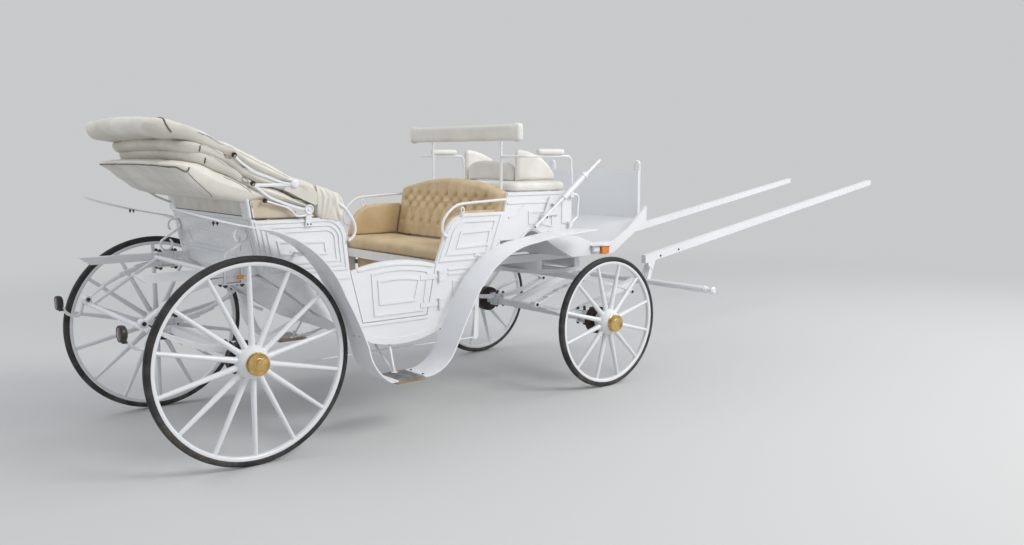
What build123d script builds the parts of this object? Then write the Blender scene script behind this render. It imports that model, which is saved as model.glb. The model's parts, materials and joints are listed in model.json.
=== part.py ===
from build123d import *
from math import acos, atan2, cos, degrees, hypot, sin, sqrt
import os

# Open four-wheeled carriage with a folding hood, two facing benches and a driver's seat in front.
# Millimetres. +X is forward, +Y is the carriage's left side, +Z is up, and the ground is z = 0.
# Lengths along X below are measured from the rear axle, heights from the ground.

# Overall reach, from which the origin is set under the middle of the whole carriage
tail_reach = 615
shaft_tip_reach = 6500
axle_x = -(shaft_tip_reach - tail_reach) / 2

# Clearances: between pieces that are bolted together, round the doors, in bearings, beside turning pieces
seat_gap = 0.3
door_gap = 5
bearing_gap = 0.05
running_gap = 0.6

# Wheels and axles
wheelbase = 2600
wheel_offset = 145
tub_half = 590
track = 2 * (tub_half + wheel_offset)
rear_radius = 550
front_radius = 455
tyre_depth = 32
tyre_width = 40
rim_depth = 20
rim_width = 36
hub_radius = 92
hub_inner = 70
hub_outer = 58
cap_radius = 60
cap_length = 34
rear_spokes = 14
front_spokes = 12
spoke_foot = 17
spoke_tip = 10
spindle_radius = 22
axle_bar = 46
drum_radius = 95
drum_width = 52
drum_clearance = 10
axle_reach = track / 2 - hub_inner - drum_clearance
steer_x = wheelbase

# Tub
wall = 22
skin = 20
back_top_x = 72
back_top_z = 1330
back_foot_x = 143
back_foot_z = 967
side_top_z = 1265
front_side_top_z = 1248
sill_z = 641
floor_z = 560
bench_foot_x = 1745
bench_foot_z = 1017
bench_lean = 0.2
inside = tub_half - wall - seat_gap

# Springs: full ellipses of stacked leaves, lengthwise, between the axles and what they carry
leaf_width = 50
leaf_count = 4
leaf_step = 0.2
rear_leaf = 8
rear_spring_half = 465
front_leaf = 7
front_spring_half = 470
spring_y = tub_half - 90
eye_radius = 15
rear_beam_foot = back_foot_z + 6
rear_beam_height = 44
rear_beam_reach = 500
rear_beam_width = 48
tie_x = -460
tie_radius = 13
tie_half = tub_half - 5
strut_y = spring_y - 70
strut_radius = 10
well_inner = spring_y - leaf_width / 2 - 15
well_outer = spring_y + leaf_width / 2 + 15
well_front = rear_spring_half + 55

# Doors
door_rear_x = 660
door_front_x = 1254
door_shoulder_z = 950
sill_rear_x = 735
sill_front_x = 1184
door_crown = 44
door_stile = 138
hinge_x = 1272
hinge_barrel = 9
hinge_pin = 4
hinge_leaf = 4
hinge_lift = 1
hinge_strap = 136
hinge_pad = 40
hinge_y = tub_half + hinge_lift + hinge_barrel
hinge_heights = (705, 875)
barrel_length = 30
knuckle_length = 18

# Benches
seat_top_z = 1045
cushion_depth = 88
deck_z = seat_top_z - cushion_depth - seat_gap
deck_thickness = 18
rail_height = 58
rail_depth = 32
skirt_thickness = 12
skirt_setback = 62
rear_seat_front = 636
front_seat_front = 1292
rear_seat_depth = 390
front_backrest_x = 1690
side_pad = 30
backrest_crown_z = 1450
backrest_corner_z = 1375
rear_backrest_top_z = 1312

# Driver's box, footwell and dash
box_foot_z = 1062
box_top_z = 1366
box_front_x = 2380
box_wall = 20
arch_rear_x = 1946
arch_front_x = 2110
arch_top_z = 1110
foot_floor_z = 912
foot_thickness = 18
toe_foot_x = 2790
footwell_front_x = 3138
toe_top_z = 1126
band_top_z = 1000
dash_half = tub_half - 90
dash_foot_z = 1130
dash_top_z = 1492
dash_thickness = 12
dash_rail_radius = 10
dash_hairpin = 46
dash_rail_top_z = 1562

# Driver's seat and its rails
seat_rear_x = 1940
seat_front_x = 2450
seat_half = tub_half - 85
seat_cushion = 62
backrest_x = 2125
backrest_thickness = 50
backrest_half = 270
backrest_rise = 150
wing_thickness = 42
tube_radius = 9
post_x = 1920
post_y = tub_half - 195
post_top_z = 1692
arm_z = 1600
ring_loop = 22
grab_top_z = 1334
arm_front_x = 2366
arm_foot_z = 1142
arm_pad_x = 2050
arm_pad_length = 220
arm_pad_width = 56
arm_pad_height = 36
headrest_half = tub_half + 43
headrest_height = 122
headrest_depth = 60
headrest_x = 1896

# Mouldings on the panels, and the scrolled irons between the rear beams and the tub
moulding_height = 6
bead_width = 12
frame_width = 16
belt_width = 24
hull_band = 38
panel_inset = 14
rear_panel_foot_z = 966
front_panel_foot_z = 958
scroll_radius = 36
scroll_iron = 9
scroll_width = 20
scroll_lower_x = 8
scroll_upper_z = 1184
scroll_turn = 290

# Hood, folded
hood_half = tub_half + 12
hood_arm = 66
iron_thickness = 18
iron_radius = 6

# Mudguards and steps
guard_inner = track / 2 - 75
guard_outer = track / 2 + 135
guard_thickness = 8
guard_point = 230
stay_radius = 8
stay_flange = 22
stay_drop = 12
clamp_bolt = 6
clamp_plate = 8
clamp_reach = 46
step_z = 341
step_thickness = 18
step_rear = 745
step_front = 1032
step_tongue = 42

# Turntable and forecarriage
beam_height = 50
beam_y = 260
beam_width = 50
beam_front_x = steer_x + 200
bolster_foot_z = 719
bolster_height = 40
bolster_depth = 60
ring_outer = 290
ring_inner = 245
ring_thickness = 14
kingpin_radius = 16
riser_rear_x = steer_x - 220
riser_front_x = steer_x + 150
riser_depth = 50
cross_beam = 36

# Shafts and draught gear
shaft_y = 450
shaft_width = 42
shaft_height = 62
shaft_tip_height = 46
shaft_hinge_x = steer_x + 730
shaft_hinge_z = 745
shaft_root_z = 820
shaft_slope = 0.165
shaft_pin = 9
lug_thickness = 10
lug_radius = 20
splinter_x = steer_x + 690
splinter_z = 650
splinter_radius = 23
outrigger_reach = 1110
spigot_radius = 16
spigot_length = 66
arm_y = 350
arm_width = 40
arm_height = 44


def at(x, y, z):
    """A point given from the rear axle, on the ground line."""
    return Vector(axle_x + x, y, z)


def side(y):
    """Upright lengthwise plane: sketch x runs forward, sketch y runs up, and it faces the right."""
    return Plane(origin=(axle_x, y, 0), x_dir=(1, 0, 0), z_dir=(0, -1, 0))


def back_x(z):
    """Outer face of the raked back panel at height z."""
    return back_top_x + (back_top_z - z) * (back_foot_x - back_top_x) / (back_top_z - back_foot_z)


def hood_at(forward, up):
    """A point of the folded hood, given from the tub's top rear corner."""
    return (back_top_x + forward, side_top_z + up)


def bench_x(z):
    """Leaning line where the tub ends and the driver's box starts."""
    return bench_foot_x + (z - bench_foot_z) * bench_lean


def block(x_range, y_range, z_range, mode=Mode.ADD):
    """A box between the given limits."""
    spans = [high - low for low, high in (x_range, y_range, z_range)]
    middle = [sum(limits) / 2 for limits in (x_range, y_range, z_range)]
    with Locations(at(*middle)):
        Box(*spans, mode=mode)


def pair(hand, low, high):
    """Limits along Y on the side that hand names."""
    return (low, high) if hand > 0 else (-high, -low)


def crosswise(x, z, radius, y_range, mode=Mode.ADD):
    """A round bar along Y."""
    with Locations(at(x, sum(y_range) / 2, z)):
        Cylinder(radius, y_range[1] - y_range[0], rotation=(90, 0, 0), mode=mode)


def rod(points, radius, bend=0):
    """A round bar or tube through the points, with bends of one radius."""
    with BuildLine() as route:
        if bend:
            FilletPolyline(*points, radius=bend)
        else:
            Polyline(*points)
    with BuildSketch(Plane(origin=route.line @ 0, z_dir=route.line % 0)) as section:
        Circle(radius)
    sweep(section.sketch, path=route.line, transition=Transition.RIGHT)


def beads(outline, insets, width=bead_width):
    """Adds a closed bead inside an outline at each inset, with open field between them."""
    for inset in insets:
        offset(outline, amount=-inset, mode=Mode.ADD)
        offset(outline, amount=-inset - width, mode=Mode.SUBTRACT)


def frame_on_side(hand, corners, rise=0, width=frame_width):
    """A raised frame on the carriage's side, its corners from the top rear one, its top arched by rise."""
    rear, front = corners[:2]
    crown = ((rear[0] + front[0]) / 2, (rear[1] + front[1]) / 2 + rise)
    with BuildSketch(side(hand * tub_half)) as band:
        with BuildLine():
            if rise:
                ThreePointArc(rear, crown, front)
            else:
                Line(rear, front)
            Polyline(front, *corners[2:], rear)
        make_face()
        offset(amount=-width, kind=Kind.INTERSECTION, mode=Mode.SUBTRACT)
    extrude(band.sketch, amount=-hand * moulding_height)


def belt_on_side(hand, rear_x, front_x, z, width=bead_width):
    """A raised strip along the carriage's side."""
    block(
        (rear_x, front_x),
        pair(hand, tub_half, tub_half + moulding_height),
        (z - width / 2, z + width / 2),
    )


def scroll_line(upper, lower):
    """An S: two curls and the straight that touches both."""
    reach = hypot(lower[0] - upper[0], lower[1] - upper[1])
    touch = atan2(lower[1] - upper[1], lower[0] - upper[0]) + acos(2 * scroll_radius / reach)
    shift = (scroll_radius * cos(touch), scroll_radius * sin(touch))
    CenterArc(upper, scroll_radius, degrees(touch), scroll_turn)
    Line((upper[0] + shift[0], upper[1] + shift[1]), (lower[0] - shift[0], lower[1] - shift[1]))
    CenterArc(lower, scroll_radius, degrees(touch) + 180, scroll_turn)


def plate(y_near, thickness, sign, outline, mode=Mode.ADD):
    """Extrudes a side outline outward from y_near on the side that sign names."""
    with BuildSketch(side(sign * y_near)) as profile:
        with BuildLine():
            Polyline(*outline, close=True)
        make_face()
    extrude(profile.sketch, amount=-sign * thickness, mode=mode)


def save(piece, name):
    """Labels a finished piece and writes its STEP file."""
    piece.part.label = name
    export_step(piece.part, f"parts/{name}.step")


os.makedirs("parts", exist_ok=True)

# Wheels: name, axle's x, side, radius, spokes
wheels = [
    ("wheel_rear_right", 0, -1, rear_radius, rear_spokes),
    ("wheel_rear_left", 0, 1, rear_radius, rear_spokes),
    ("wheel_front_right", wheelbase, -1, front_radius, front_spokes),
    ("wheel_front_left", wheelbase, 1, front_radius, front_spokes),
]

for name, wheel_x, hand, radius, spokes in wheels:
    centre = Plane(
        origin=(axle_x + wheel_x, hand * track / 2, radius), x_dir=(1, 0, 0), z_dir=(0, hand, 0)
    )
    rim_radius = radius - tyre_depth

    with BuildPart(centre) as tyre:
        Cylinder(radius, tyre_width)
        Cylinder(rim_radius, tyre_width, mode=Mode.SUBTRACT)
    save(tyre, name.replace("wheel", "tyre"))

    with BuildPart(centre) as wheel:
        Cylinder(rim_radius, rim_width)
        Cylinder(rim_radius - rim_depth, rim_width, mode=Mode.SUBTRACT)
        spoke_root = hub_radius / 2
        spoke_length = rim_radius - rim_depth / 2 - spoke_root
        with PolarLocations(spoke_root, spokes):
            Cone(
                spoke_foot,
                spoke_tip,
                spoke_length,
                rotation=(0, 90, 0),
                align=(Align.CENTER, Align.CENTER, Align.MIN),
            )
        across = Plane(origin=centre.origin, x_dir=centre.x_dir, z_dir=centre.x_dir.cross(centre.z_dir))
        with BuildSketch(across):
            hub_neck = hub_radius * 0.72
            bore = spindle_radius + bearing_gap
            with BuildLine():
                Line((bore, -hub_inner), (hub_neck, -hub_inner))
                ThreePointArc((hub_neck, -hub_inner), (hub_radius, 0), (hub_neck, hub_outer))
                Polyline((hub_neck, hub_outer), (bore, hub_outer), (bore, -hub_inner))
            make_face()
        revolve(axis=Axis(centre.origin, centre.z_dir))
        Cylinder(bore, 4 * hub_inner, mode=Mode.SUBTRACT)
    save(wheel, name)

    with BuildPart(centre.offset(hub_outer)) as cap:
        collar = cap_length * 0.6
        Cylinder(cap_radius, collar, align=(Align.CENTER, Align.CENTER, Align.MIN))
        with Locations((0, 0, collar)):
            Cone(
                cap_radius * 0.8,
                cap_radius * 0.62,
                cap_length - collar,
                align=(Align.CENTER, Align.CENTER, Align.MIN),
            )
    save(cap, name.replace("wheel", "hub_cap"))

# Axles with their brake drums
for end, centre_x, radius in (("rear", 0, rear_radius), ("front", wheelbase, front_radius)):
    with BuildPart() as axle:
        with Locations(at(centre_x, 0, radius)):
            Box(axle_bar, 2 * axle_reach, axle_bar)
            Cylinder(spindle_radius, track + 2 * hub_outer - 2, rotation=(90, 0, 0))
    save(axle, f"axle_{end}")

    with BuildPart() as drums:
        for hand in (-1, 1):
            crosswise(centre_x, radius, drum_radius, pair(hand, axle_reach - drum_width, axle_reach))
        with Locations(at(centre_x, 0, radius)):
            Box(
                axle_bar + 2 * seat_gap,
                2 * axle_reach + 2,
                axle_bar + 2 * seat_gap,
                mode=Mode.SUBTRACT,
            )
    save(drums, f"brake_drums_{end}")


def spring_pair(centre_x, foot_z, top_z, half, leaf):
    """A full-ellipse spring on each side, from foot_z to top_z, its leaves pinned at the eyes."""
    eye_z = (foot_z + top_z) / 2
    rise = (top_z - foot_z) / 2 - (leaf_count - 0.5) * leaf
    radius = (half * half + rise * rise) / (2 * rise)
    for hand in (-1, 1):
        with BuildSketch(side(hand * spring_y)) as leaves:
            for way in (-1, 1):
                for number in range(leaf_count):
                    reach = half * (1 - leaf_step * number)
                    climb = radius - sqrt(radius * radius - reach * reach)
                    inner = number * leaf - leaf / 2
                    ends = [eye_z + way * (rise - climb + inner + grow) for grow in (0, leaf)]
                    mids = [eye_z + way * (rise + inner + grow) for grow in (0, leaf)]
                    rear_x = centre_x - reach
                    front_x = centre_x + reach
                    with BuildLine():
                        ThreePointArc((rear_x, ends[0]), (centre_x, mids[0]), (front_x, ends[0]))
                        Line((front_x, ends[0]), (front_x, ends[1]))
                        ThreePointArc((front_x, ends[1]), (centre_x, mids[1]), (rear_x, ends[1]))
                        Line((rear_x, ends[1]), (rear_x, ends[0]))
                    make_face()
            with Locations((centre_x - half, eye_z), (centre_x + half, eye_z)):
                Circle(eye_radius)
        extrude(leaves.sketch, amount=leaf_width / 2, both=True)


# Rear gear: springs on the axle, the tub's two beams on the springs, and the tie behind with its struts
rear_seat_z = rear_radius + axle_bar / 2
rear_spring_top = rear_beam_foot - seat_gap
with BuildPart() as rear_springs:
    spring_pair(0, rear_seat_z, rear_spring_top, rear_spring_half, rear_leaf)
save(rear_springs, "rear_springs")

rear_beam_top = rear_beam_foot + rear_beam_height
rear_eye_z = (rear_seat_z + rear_spring_top) / 2
tie_z = rear_eye_z - eye_radius - tie_radius - seat_gap
with BuildPart() as rear_frame:
    cross_x = -70
    cross_z = rear_beam_foot + rear_beam_height / 2
    strut_foot_x = -axle_bar / 2 - seat_gap
    for hand in (-1, 1):
        plate(
            spring_y - rear_beam_width / 2,
            rear_beam_width,
            hand,
            [
                (-rear_beam_reach, rear_beam_top),
                (60 - rear_beam_reach, rear_beam_foot),
                (back_x(rear_beam_foot) - seat_gap, rear_beam_foot),
                (back_x(rear_beam_top) - seat_gap, rear_beam_top),
            ],
        )
        strut = hand * strut_y
        rod([at(cross_x, strut, cross_z), at(tie_x, strut, tie_z)], strut_radius)
        rod([at(tie_x, strut, tie_z), at(strut_foot_x - 5, strut, rear_radius)], strut_radius)
        block(
            (strut_foot_x - 10, strut_foot_x),
            pair(hand, strut_y - 2 * strut_radius, strut_y + 2 * strut_radius),
            (rear_radius - axle_bar / 2, rear_radius + axle_bar / 2),
        )
    crosswise(tie_x, tie_z, tie_radius, (-tie_half, tie_half))
    crosswise(cross_x, cross_z, tie_radius, (-spring_y, spring_y))
save(rear_frame, "rear_frame")

with BuildPart() as scroll_irons:
    scroll_grip = scroll_radius + scroll_iron / 2 + seat_gap
    for hand in (-1, 1):
        upper_curl = (back_x(scroll_upper_z) - scroll_grip * 1.02, scroll_upper_z)
        lower_curl = (scroll_lower_x, rear_beam_top + seat_gap + clamp_plate + scroll_grip)
        with BuildSketch(side(hand * spring_y)) as curls:
            with BuildLine():
                scroll_line(upper_curl, lower_curl)
            trace(line_width=scroll_iron)
        extrude(curls.sketch, amount=scroll_width / 2, both=True)
save(scroll_irons, "scroll_irons")


def clamp(centre_x, hand, reach, low, high):
    """Two plates with four bolts that grip a stack of leaves and its seat between the heights low and high."""
    bolt_reach = leaf_width / 2 + clamp_bolt + 2
    for z in (low - clamp_plate, high):
        block(
            (centre_x - reach - 2 * clamp_bolt, centre_x + reach + 2 * clamp_bolt),
            (hand * spring_y - bolt_reach - clamp_bolt, hand * spring_y + bolt_reach + clamp_bolt),
            (z, z + clamp_plate),
        )
    for way in (-1, 1):
        for flank in (-1, 1):
            middle = (low + high) / 2
            with Locations(at(centre_x + way * reach, hand * spring_y + flank * bolt_reach, middle)):
                Cylinder(clamp_bolt, high - low + 5 * clamp_plate)


def sag(half, rise, x):
    """How far a leaf of the given half length and rise falls away from its middle at x."""
    radius = (half * half + rise * rise) / (2 * rise)
    return radius - sqrt(radius * radius - x * x)


rear_stack = leaf_count * rear_leaf
rear_spring_rise = (rear_spring_top - rear_seat_z) / 2 - (leaf_count - 0.5) * rear_leaf
clamp_corner = clamp_reach + 2 * clamp_bolt
axle_clamp_reach = axle_bar / 2 + clamp_bolt + 3
axle_clamp_corner = axle_clamp_reach + 2 * clamp_bolt
with BuildPart() as spring_clamps_rear:
    for hand in (-1, 1):
        clamp(
            0,
            hand,
            clamp_reach,
            rear_spring_top - rear_stack - sag(rear_spring_half, rear_spring_rise, clamp_corner) - seat_gap,
            rear_beam_top + seat_gap,
        )
        clamp(
            0,
            hand,
            axle_clamp_reach,
            rear_radius - axle_bar / 2 - seat_gap,
            rear_seat_z + rear_stack + sag(rear_spring_half, rear_spring_rise, axle_clamp_corner) + seat_gap,
        )
save(spring_clamps_rear, "spring_clamps_rear")

# Tub: boat-shaped bottom with the sills, quarter panels, raked back, doors
hull_rear = (back_foot_x, back_foot_z)
hull_slope = (300, 860)
hull_rear_mid = (520, 688)
hull_knee = (792, 520)
hull_keel = (1005, 492)
hull_toe = (1200, 521)
hull_front_mid = (1400, 622)
hull_front = (1560, 790)
hull_end = (bench_foot_x, bench_foot_z)
floor_rear = (742, floor_z)
floor_rear_top = (318, 880)
floor_front = (1290, floor_z)
floor_front_low = (1330, floor_z + 30)
floor_front_top = (1530, 795)
floor_end = (bench_foot_x - skin, bench_foot_z + 4)


def hull_curve(drop=0):
    """The tub's underside from the back panel's foot to the leaning line."""
    p = [
        (x, z - drop)
        for x, z in (hull_rear, hull_slope, hull_rear_mid, hull_knee, hull_keel, hull_toe)
        + (hull_front_mid, hull_front, hull_end)
    ]
    Line(p[0], p[1])
    ThreePointArc(p[1], p[2], p[3])
    ThreePointArc(p[3], p[4], p[5])
    ThreePointArc(p[5], p[6], p[7])
    Line(p[7], p[8])


def clear_hull():
    """Trims the piece in hand to the tub's underside, with the seat gap."""
    with BuildSketch(side(0)) as above:
        with BuildLine():
            hull_curve(seat_gap)
            Polyline(
                (hull_end[0], hull_end[1] - seat_gap),
                (hull_end[0], back_top_z),
                (hull_rear[0], back_top_z),
                (hull_rear[0], hull_rear[1] - seat_gap),
            )
        make_face()
    extrude(above.sketch, amount=tub_half, both=True, mode=Mode.SUBTRACT)


def line_z(start, end, x):
    """Height at x on the straight line through two points of an outline."""
    return start[1] + (x - start[0]) * (end[1] - start[1]) / (end[0] - start[0])


def line_x(start, end, z):
    """Place along X at height z on the straight line through two points of an outline."""
    return start[0] + (z - start[1]) * (end[0] - start[0]) / (end[1] - start[1])


sill_foot_rear = (sill_rear_x + 35, 400)
sill_foot_front = (sill_front_x - 35, 400)
with BuildPart() as tub_bottom:
    with BuildSketch(side(0)):
        with BuildLine():
            hull_curve()
            Polyline(
                hull_end,
                floor_end,
                floor_front_top,
                floor_front_low,
                floor_front,
                floor_rear,
                floor_rear_top,
                (back_foot_x + skin, back_foot_z + 8),
                hull_rear,
            )
        make_face()
    extrude(amount=tub_half - wall, both=True)
    for hand in (-1, 1):
        block((0, well_front), pair(hand, well_inner, well_outer), (hull_keel[1], back_top_z), Mode.SUBTRACT)
    for hand in (-1, 1):
        with BuildSketch(side(hand * (tub_half - wall))):
            with BuildLine():
                hull_curve()
                Line(hull_end, hull_rear)
            make_face()
            with BuildLine():
                Polyline(
                    (sill_rear_x, sill_z),
                    (sill_front_x, sill_z),
                    sill_foot_front,
                    sill_foot_rear,
                    close=True,
                )
            make_face(mode=Mode.INTERSECT)
        extrude(amount=-hand * wall)
save(tub_bottom, "tub_bottom")


def tub_side_curve():
    """Outline of the tub's whole side, doors and sills included."""
    hull_curve()
    Polyline(
        hull_end,
        (bench_x(front_side_top_z), front_side_top_z),
        (door_front_x, front_side_top_z),
        (door_rear_x, side_top_z),
        (back_x(side_top_z), side_top_z),
        hull_rear,
    )


quarter_rear_edge = back_x(side_top_z) + wall + seat_gap
with BuildPart() as rear_quarters:
    for hand in (-1, 1):
        with BuildSketch(side(hand * (tub_half - wall))) as panel:
            with BuildLine():
                tub_side_curve()
            make_face()
            with BuildLine():
                Polyline(
                    (door_rear_x - 18, side_top_z - 130),
                    (door_rear_x, door_shoulder_z),
                    (sill_rear_x, sill_z),
                    sill_foot_rear,
                    (back_foot_x + wall + seat_gap, 400),
                    (back_foot_x + wall + seat_gap, back_foot_z),
                    (quarter_rear_edge, side_top_z),
                    (door_rear_x - 130, side_top_z),
                )
                ThreePointArc(
                    (door_rear_x - 130, side_top_z),
                    (door_rear_x - 48, side_top_z - 40),
                    (door_rear_x - 18, side_top_z - 130),
                )
            make_face(mode=Mode.INTERSECT)
        extrude(panel.sketch, amount=-hand * wall)
save(rear_quarters, "rear_quarters")

with BuildPart() as front_quarters:
    for hand in (-1, 1):
        with BuildSketch(side(hand * (tub_half - wall))) as panel:
            with BuildLine():
                tub_side_curve()
            make_face()
            with BuildLine():
                ThreePointArc(
                    (door_front_x + 216, front_side_top_z),
                    (door_front_x + 118, front_side_top_z - 48),
                    (door_front_x + 64, front_side_top_z - 138),
                )
                Polyline(
                    (door_front_x + 64, front_side_top_z - 138),
                    (door_front_x, door_shoulder_z),
                    (sill_front_x, sill_z),
                    sill_foot_front,
                    (bench_foot_x + 100, 400),
                    (bench_foot_x + 100, front_side_top_z),
                    (door_front_x + 216, front_side_top_z),
                )
            make_face(mode=Mode.INTERSECT)
        extrude(panel.sketch, amount=-hand * wall)
        leaf_reach = hinge_lift + hinge_leaf
        for height in hinge_heights:
            for shift in (-1, 1):
                knuckle_z = height + shift * (barrel_length / 2 + running_gap + knuckle_length / 2)
                with Locations(at(hinge_x, hand * hinge_y, knuckle_z)):
                    Cylinder(hinge_barrel, knuckle_length)
                block(
                    (hinge_x, hinge_x + hinge_pad),
                    pair(hand, tub_half - 1, tub_half + leaf_reach),
                    (knuckle_z - knuckle_length / 2, knuckle_z + knuckle_length / 2),
                )
            with Locations(at(hinge_x, hand * hinge_y, height)):
                Cylinder(hinge_pin, barrel_length + 2 * knuckle_length)
save(front_quarters, "front_quarters")

for hand, word in ((-1, "right"), (1, "left")):
    with BuildPart() as door:
        shoulder_rear = (door_rear_x + door_gap, door_shoulder_z)
        shoulder_front = (door_front_x - door_gap, door_shoulder_z)
        crown = ((door_rear_x + door_front_x) / 2, door_shoulder_z + door_crown)
        with BuildSketch(side(hand * (tub_half - wall))) as panel:
            with BuildLine():
                Polyline(
                    shoulder_front,
                    (sill_front_x - door_gap, sill_z + door_gap),
                    (sill_rear_x + door_gap, sill_z + door_gap),
                    shoulder_rear,
                )
                ThreePointArc(shoulder_rear, crown, shoulder_front)
            make_face()
        extrude(panel.sketch, amount=-hand * wall)
        for height in hinge_heights:
            low = height - barrel_length / 2
            high = height + barrel_length / 2
            with Locations(at(hinge_x, hand * hinge_y, height)):
                Cylinder(hinge_barrel, barrel_length)
            block(
                (hinge_x - hinge_strap, hinge_x),
                pair(hand, tub_half + hinge_lift, tub_half + hinge_lift + hinge_leaf),
                (low, high),
            )
            block(
                (hinge_x - hinge_strap, hinge_x - hinge_strap + hinge_pad),
                pair(hand, tub_half - 1, tub_half + hinge_lift + 1),
                (low, high),
            )
            with Locations(at(hinge_x, hand * hinge_y, height)):
                Cylinder(hinge_pin + bearing_gap, barrel_length + 2, mode=Mode.SUBTRACT)
    save(door, f"door_{word}")

    with BuildPart() as door_moulding:
        with BuildSketch(side(hand * tub_half)) as arch:
            with BuildLine():
                ThreePointArc(
                    (door_rear_x + 52, door_shoulder_z - 2),
                    (crown[0], crown[1] - 24),
                    (door_front_x - 22, door_shoulder_z - 12),
                )
            trace(line_width=bead_width)
        extrude(arch.sketch, amount=-hand * moulding_height)
        outer_panel = [
            (door_rear_x + door_stile, door_shoulder_z - 22),
            (door_front_x - 56, door_shoulder_z - 36),
            (sill_front_x - 26, sill_z + 32),
            (sill_rear_x + door_stile - 60, sill_z + 32),
        ]
        inner_panel = [
            (door_rear_x + door_stile + 42, door_shoulder_z - 66),
            (door_front_x - 116, door_shoulder_z - 76),
            (sill_front_x - 80, sill_z + 96),
            (sill_rear_x + door_stile - 24, sill_z + 96),
        ]
        frame_on_side(hand, outer_panel, rise=22, width=bead_width)
        frame_on_side(hand, inner_panel, rise=14)
        for height in hinge_heights:
            block(
                (hinge_x - hinge_strap - door_gap, hinge_x),
                pair(hand, tub_half - 1, tub_half + 2 * moulding_height),
                (height - barrel_length / 2 - door_gap, height + barrel_length / 2 + door_gap),
                Mode.SUBTRACT,
            )
    save(door_moulding, f"door_moulding_{word}")

with BuildPart() as back_panel:
    foot_z = back_foot_z + seat_gap
    plate(
        -tub_half,
        2 * tub_half,
        1,
        [
            (back_x(foot_z), foot_z),
            (back_top_x, back_top_z),
            (back_top_x + wall, back_top_z),
            (back_x(foot_z + 10) + wall, foot_z + 10),
        ],
    )
save(back_panel, "back_panel")

# Benches: decks and rails, skirts, cushions, backs and padded side walls
deck_foot = deck_z - deck_thickness
rear_deck_x = rear_seat_front - rear_seat_depth
front_deck_x = line_x(floor_front_top, floor_end, deck_foot) - seat_gap
with BuildPart() as bench_boards:
    for front_x, back_edge_x, way in (
        (rear_seat_front, rear_deck_x, -1),
        (front_seat_front, front_deck_x, 1),
    ):
        rail = sorted((front_x, front_x + way * rail_depth))
        deck = sorted((front_x + way * rail_depth, back_edge_x))
        block(deck, (-inside, inside), (deck_foot, deck_z))
        block(rail, (-inside, inside), (deck_z - rail_height, deck_z))
save(bench_boards, "bench_boards")

with BuildPart() as bench_skirts:
    rear_board_x = rear_seat_front - skirt_setback
    front_board_x = front_seat_front + skirt_setback
    for board_x, low_point, high_point in (
        (rear_board_x, floor_rear, floor_rear_top),
        (front_board_x, floor_front_low, floor_front_top),
    ):
        near = board_x - skirt_thickness / 2
        far = board_x + skirt_thickness / 2
        plate(
            -inside,
            2 * inside,
            1,
            [
                (near, line_z(low_point, high_point, near) + seat_gap),
                (far, line_z(low_point, high_point, far) + seat_gap),
                (far, deck_foot - seat_gap),
                (near, deck_foot - seat_gap),
            ],
        )
save(bench_skirts, "bench_skirts")

# Cushions: name, front edge, the way that leads from front to back, back edge from the top down
cushion_foot = deck_z + seat_gap
slope_z = line_z(floor_front_top, floor_end, front_backrest_x) + seat_gap
slope_x = line_x(floor_front_top, floor_end, cushion_foot) - seat_gap
for name, front_x, way, back_edge in (
    (
        "rear_seat_cushion",
        rear_seat_front,
        -1,
        [(rear_deck_x, seat_top_z - 8), (rear_deck_x, cushion_foot)],
    ),
    (
        "front_seat_cushion",
        front_seat_front,
        1,
        [(front_backrest_x, seat_top_z - 8), (front_backrest_x, slope_z), (slope_x, cushion_foot)],
    ),
):
    with BuildPart() as cushion:
        plate(
            -inside,
            2 * inside,
            1,
            [
                (front_x - way * 8, cushion_foot),
                (front_x - way * 14, seat_top_z - 30),
                (front_x + way * 14, seat_top_z),
            ]
            + back_edge,
        )
    save(cushion, name)

rear_face_x = rear_deck_x - seat_gap
with BuildPart() as rear_seat_back:
    plate(
        -inside,
        2 * inside,
        1,
        [
            (back_x(rear_backrest_top_z) + wall + seat_gap, rear_backrest_top_z),
            (back_x(cushion_foot + 20) + wall + seat_gap, cushion_foot + 20),
            (rear_face_x, cushion_foot + 20),
            (rear_face_x - 6, seat_top_z),
            (rear_face_x - 58, rear_backrest_top_z),
        ],
    )
save(rear_seat_back, "rear_seat_back")

front_face_x = front_backrest_x + seat_gap
with BuildPart() as front_seat_back:
    plate(
        -inside,
        2 * inside,
        1,
        [
            (front_face_x, slope_z + 2),
            (front_face_x + 6, seat_top_z),
            (front_face_x + 72, backrest_crown_z - 20),
            (front_face_x + 90, backrest_crown_z),
            (bench_x(backrest_crown_z), backrest_crown_z),
            (bench_x(bench_foot_z + 12), bench_foot_z + 12),
            (floor_end[0], floor_end[1] + 1),
        ],
    )
    with BuildSketch(Plane.YZ) as crown_outline:
        with BuildLine():
            ThreePointArc((inside, backrest_corner_z), (0, backrest_crown_z), (-inside, backrest_corner_z))
            Polyline((-inside, backrest_corner_z), (-inside, 0), (inside, 0), (inside, backrest_corner_z))
        make_face()
    extrude(crown_outline.sketch, amount=shaft_tip_reach, both=True, mode=Mode.INTERSECT)
save(front_seat_back, "front_seat_back")

with BuildPart() as side_pads:
    for hand in (-1, 1):
        pad_foot = seat_top_z + seat_gap
        rear_pad = [
            (rear_deck_x + 10, pad_foot),
            (rear_seat_front - 36, pad_foot),
            (rear_seat_front - 76, side_top_z),
            (rear_deck_x - 41, side_top_z),
        ]
        front_pad = [
            (front_seat_front + 38, pad_foot),
            (front_face_x, pad_foot),
            (front_face_x + 36, front_side_top_z - 8),
            (front_seat_front + 148, front_side_top_z - 8),
        ]
        for outline in (rear_pad, front_pad):
            plate(inside - side_pad, side_pad, hand, outline)
save(side_pads, "side_pads")

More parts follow.
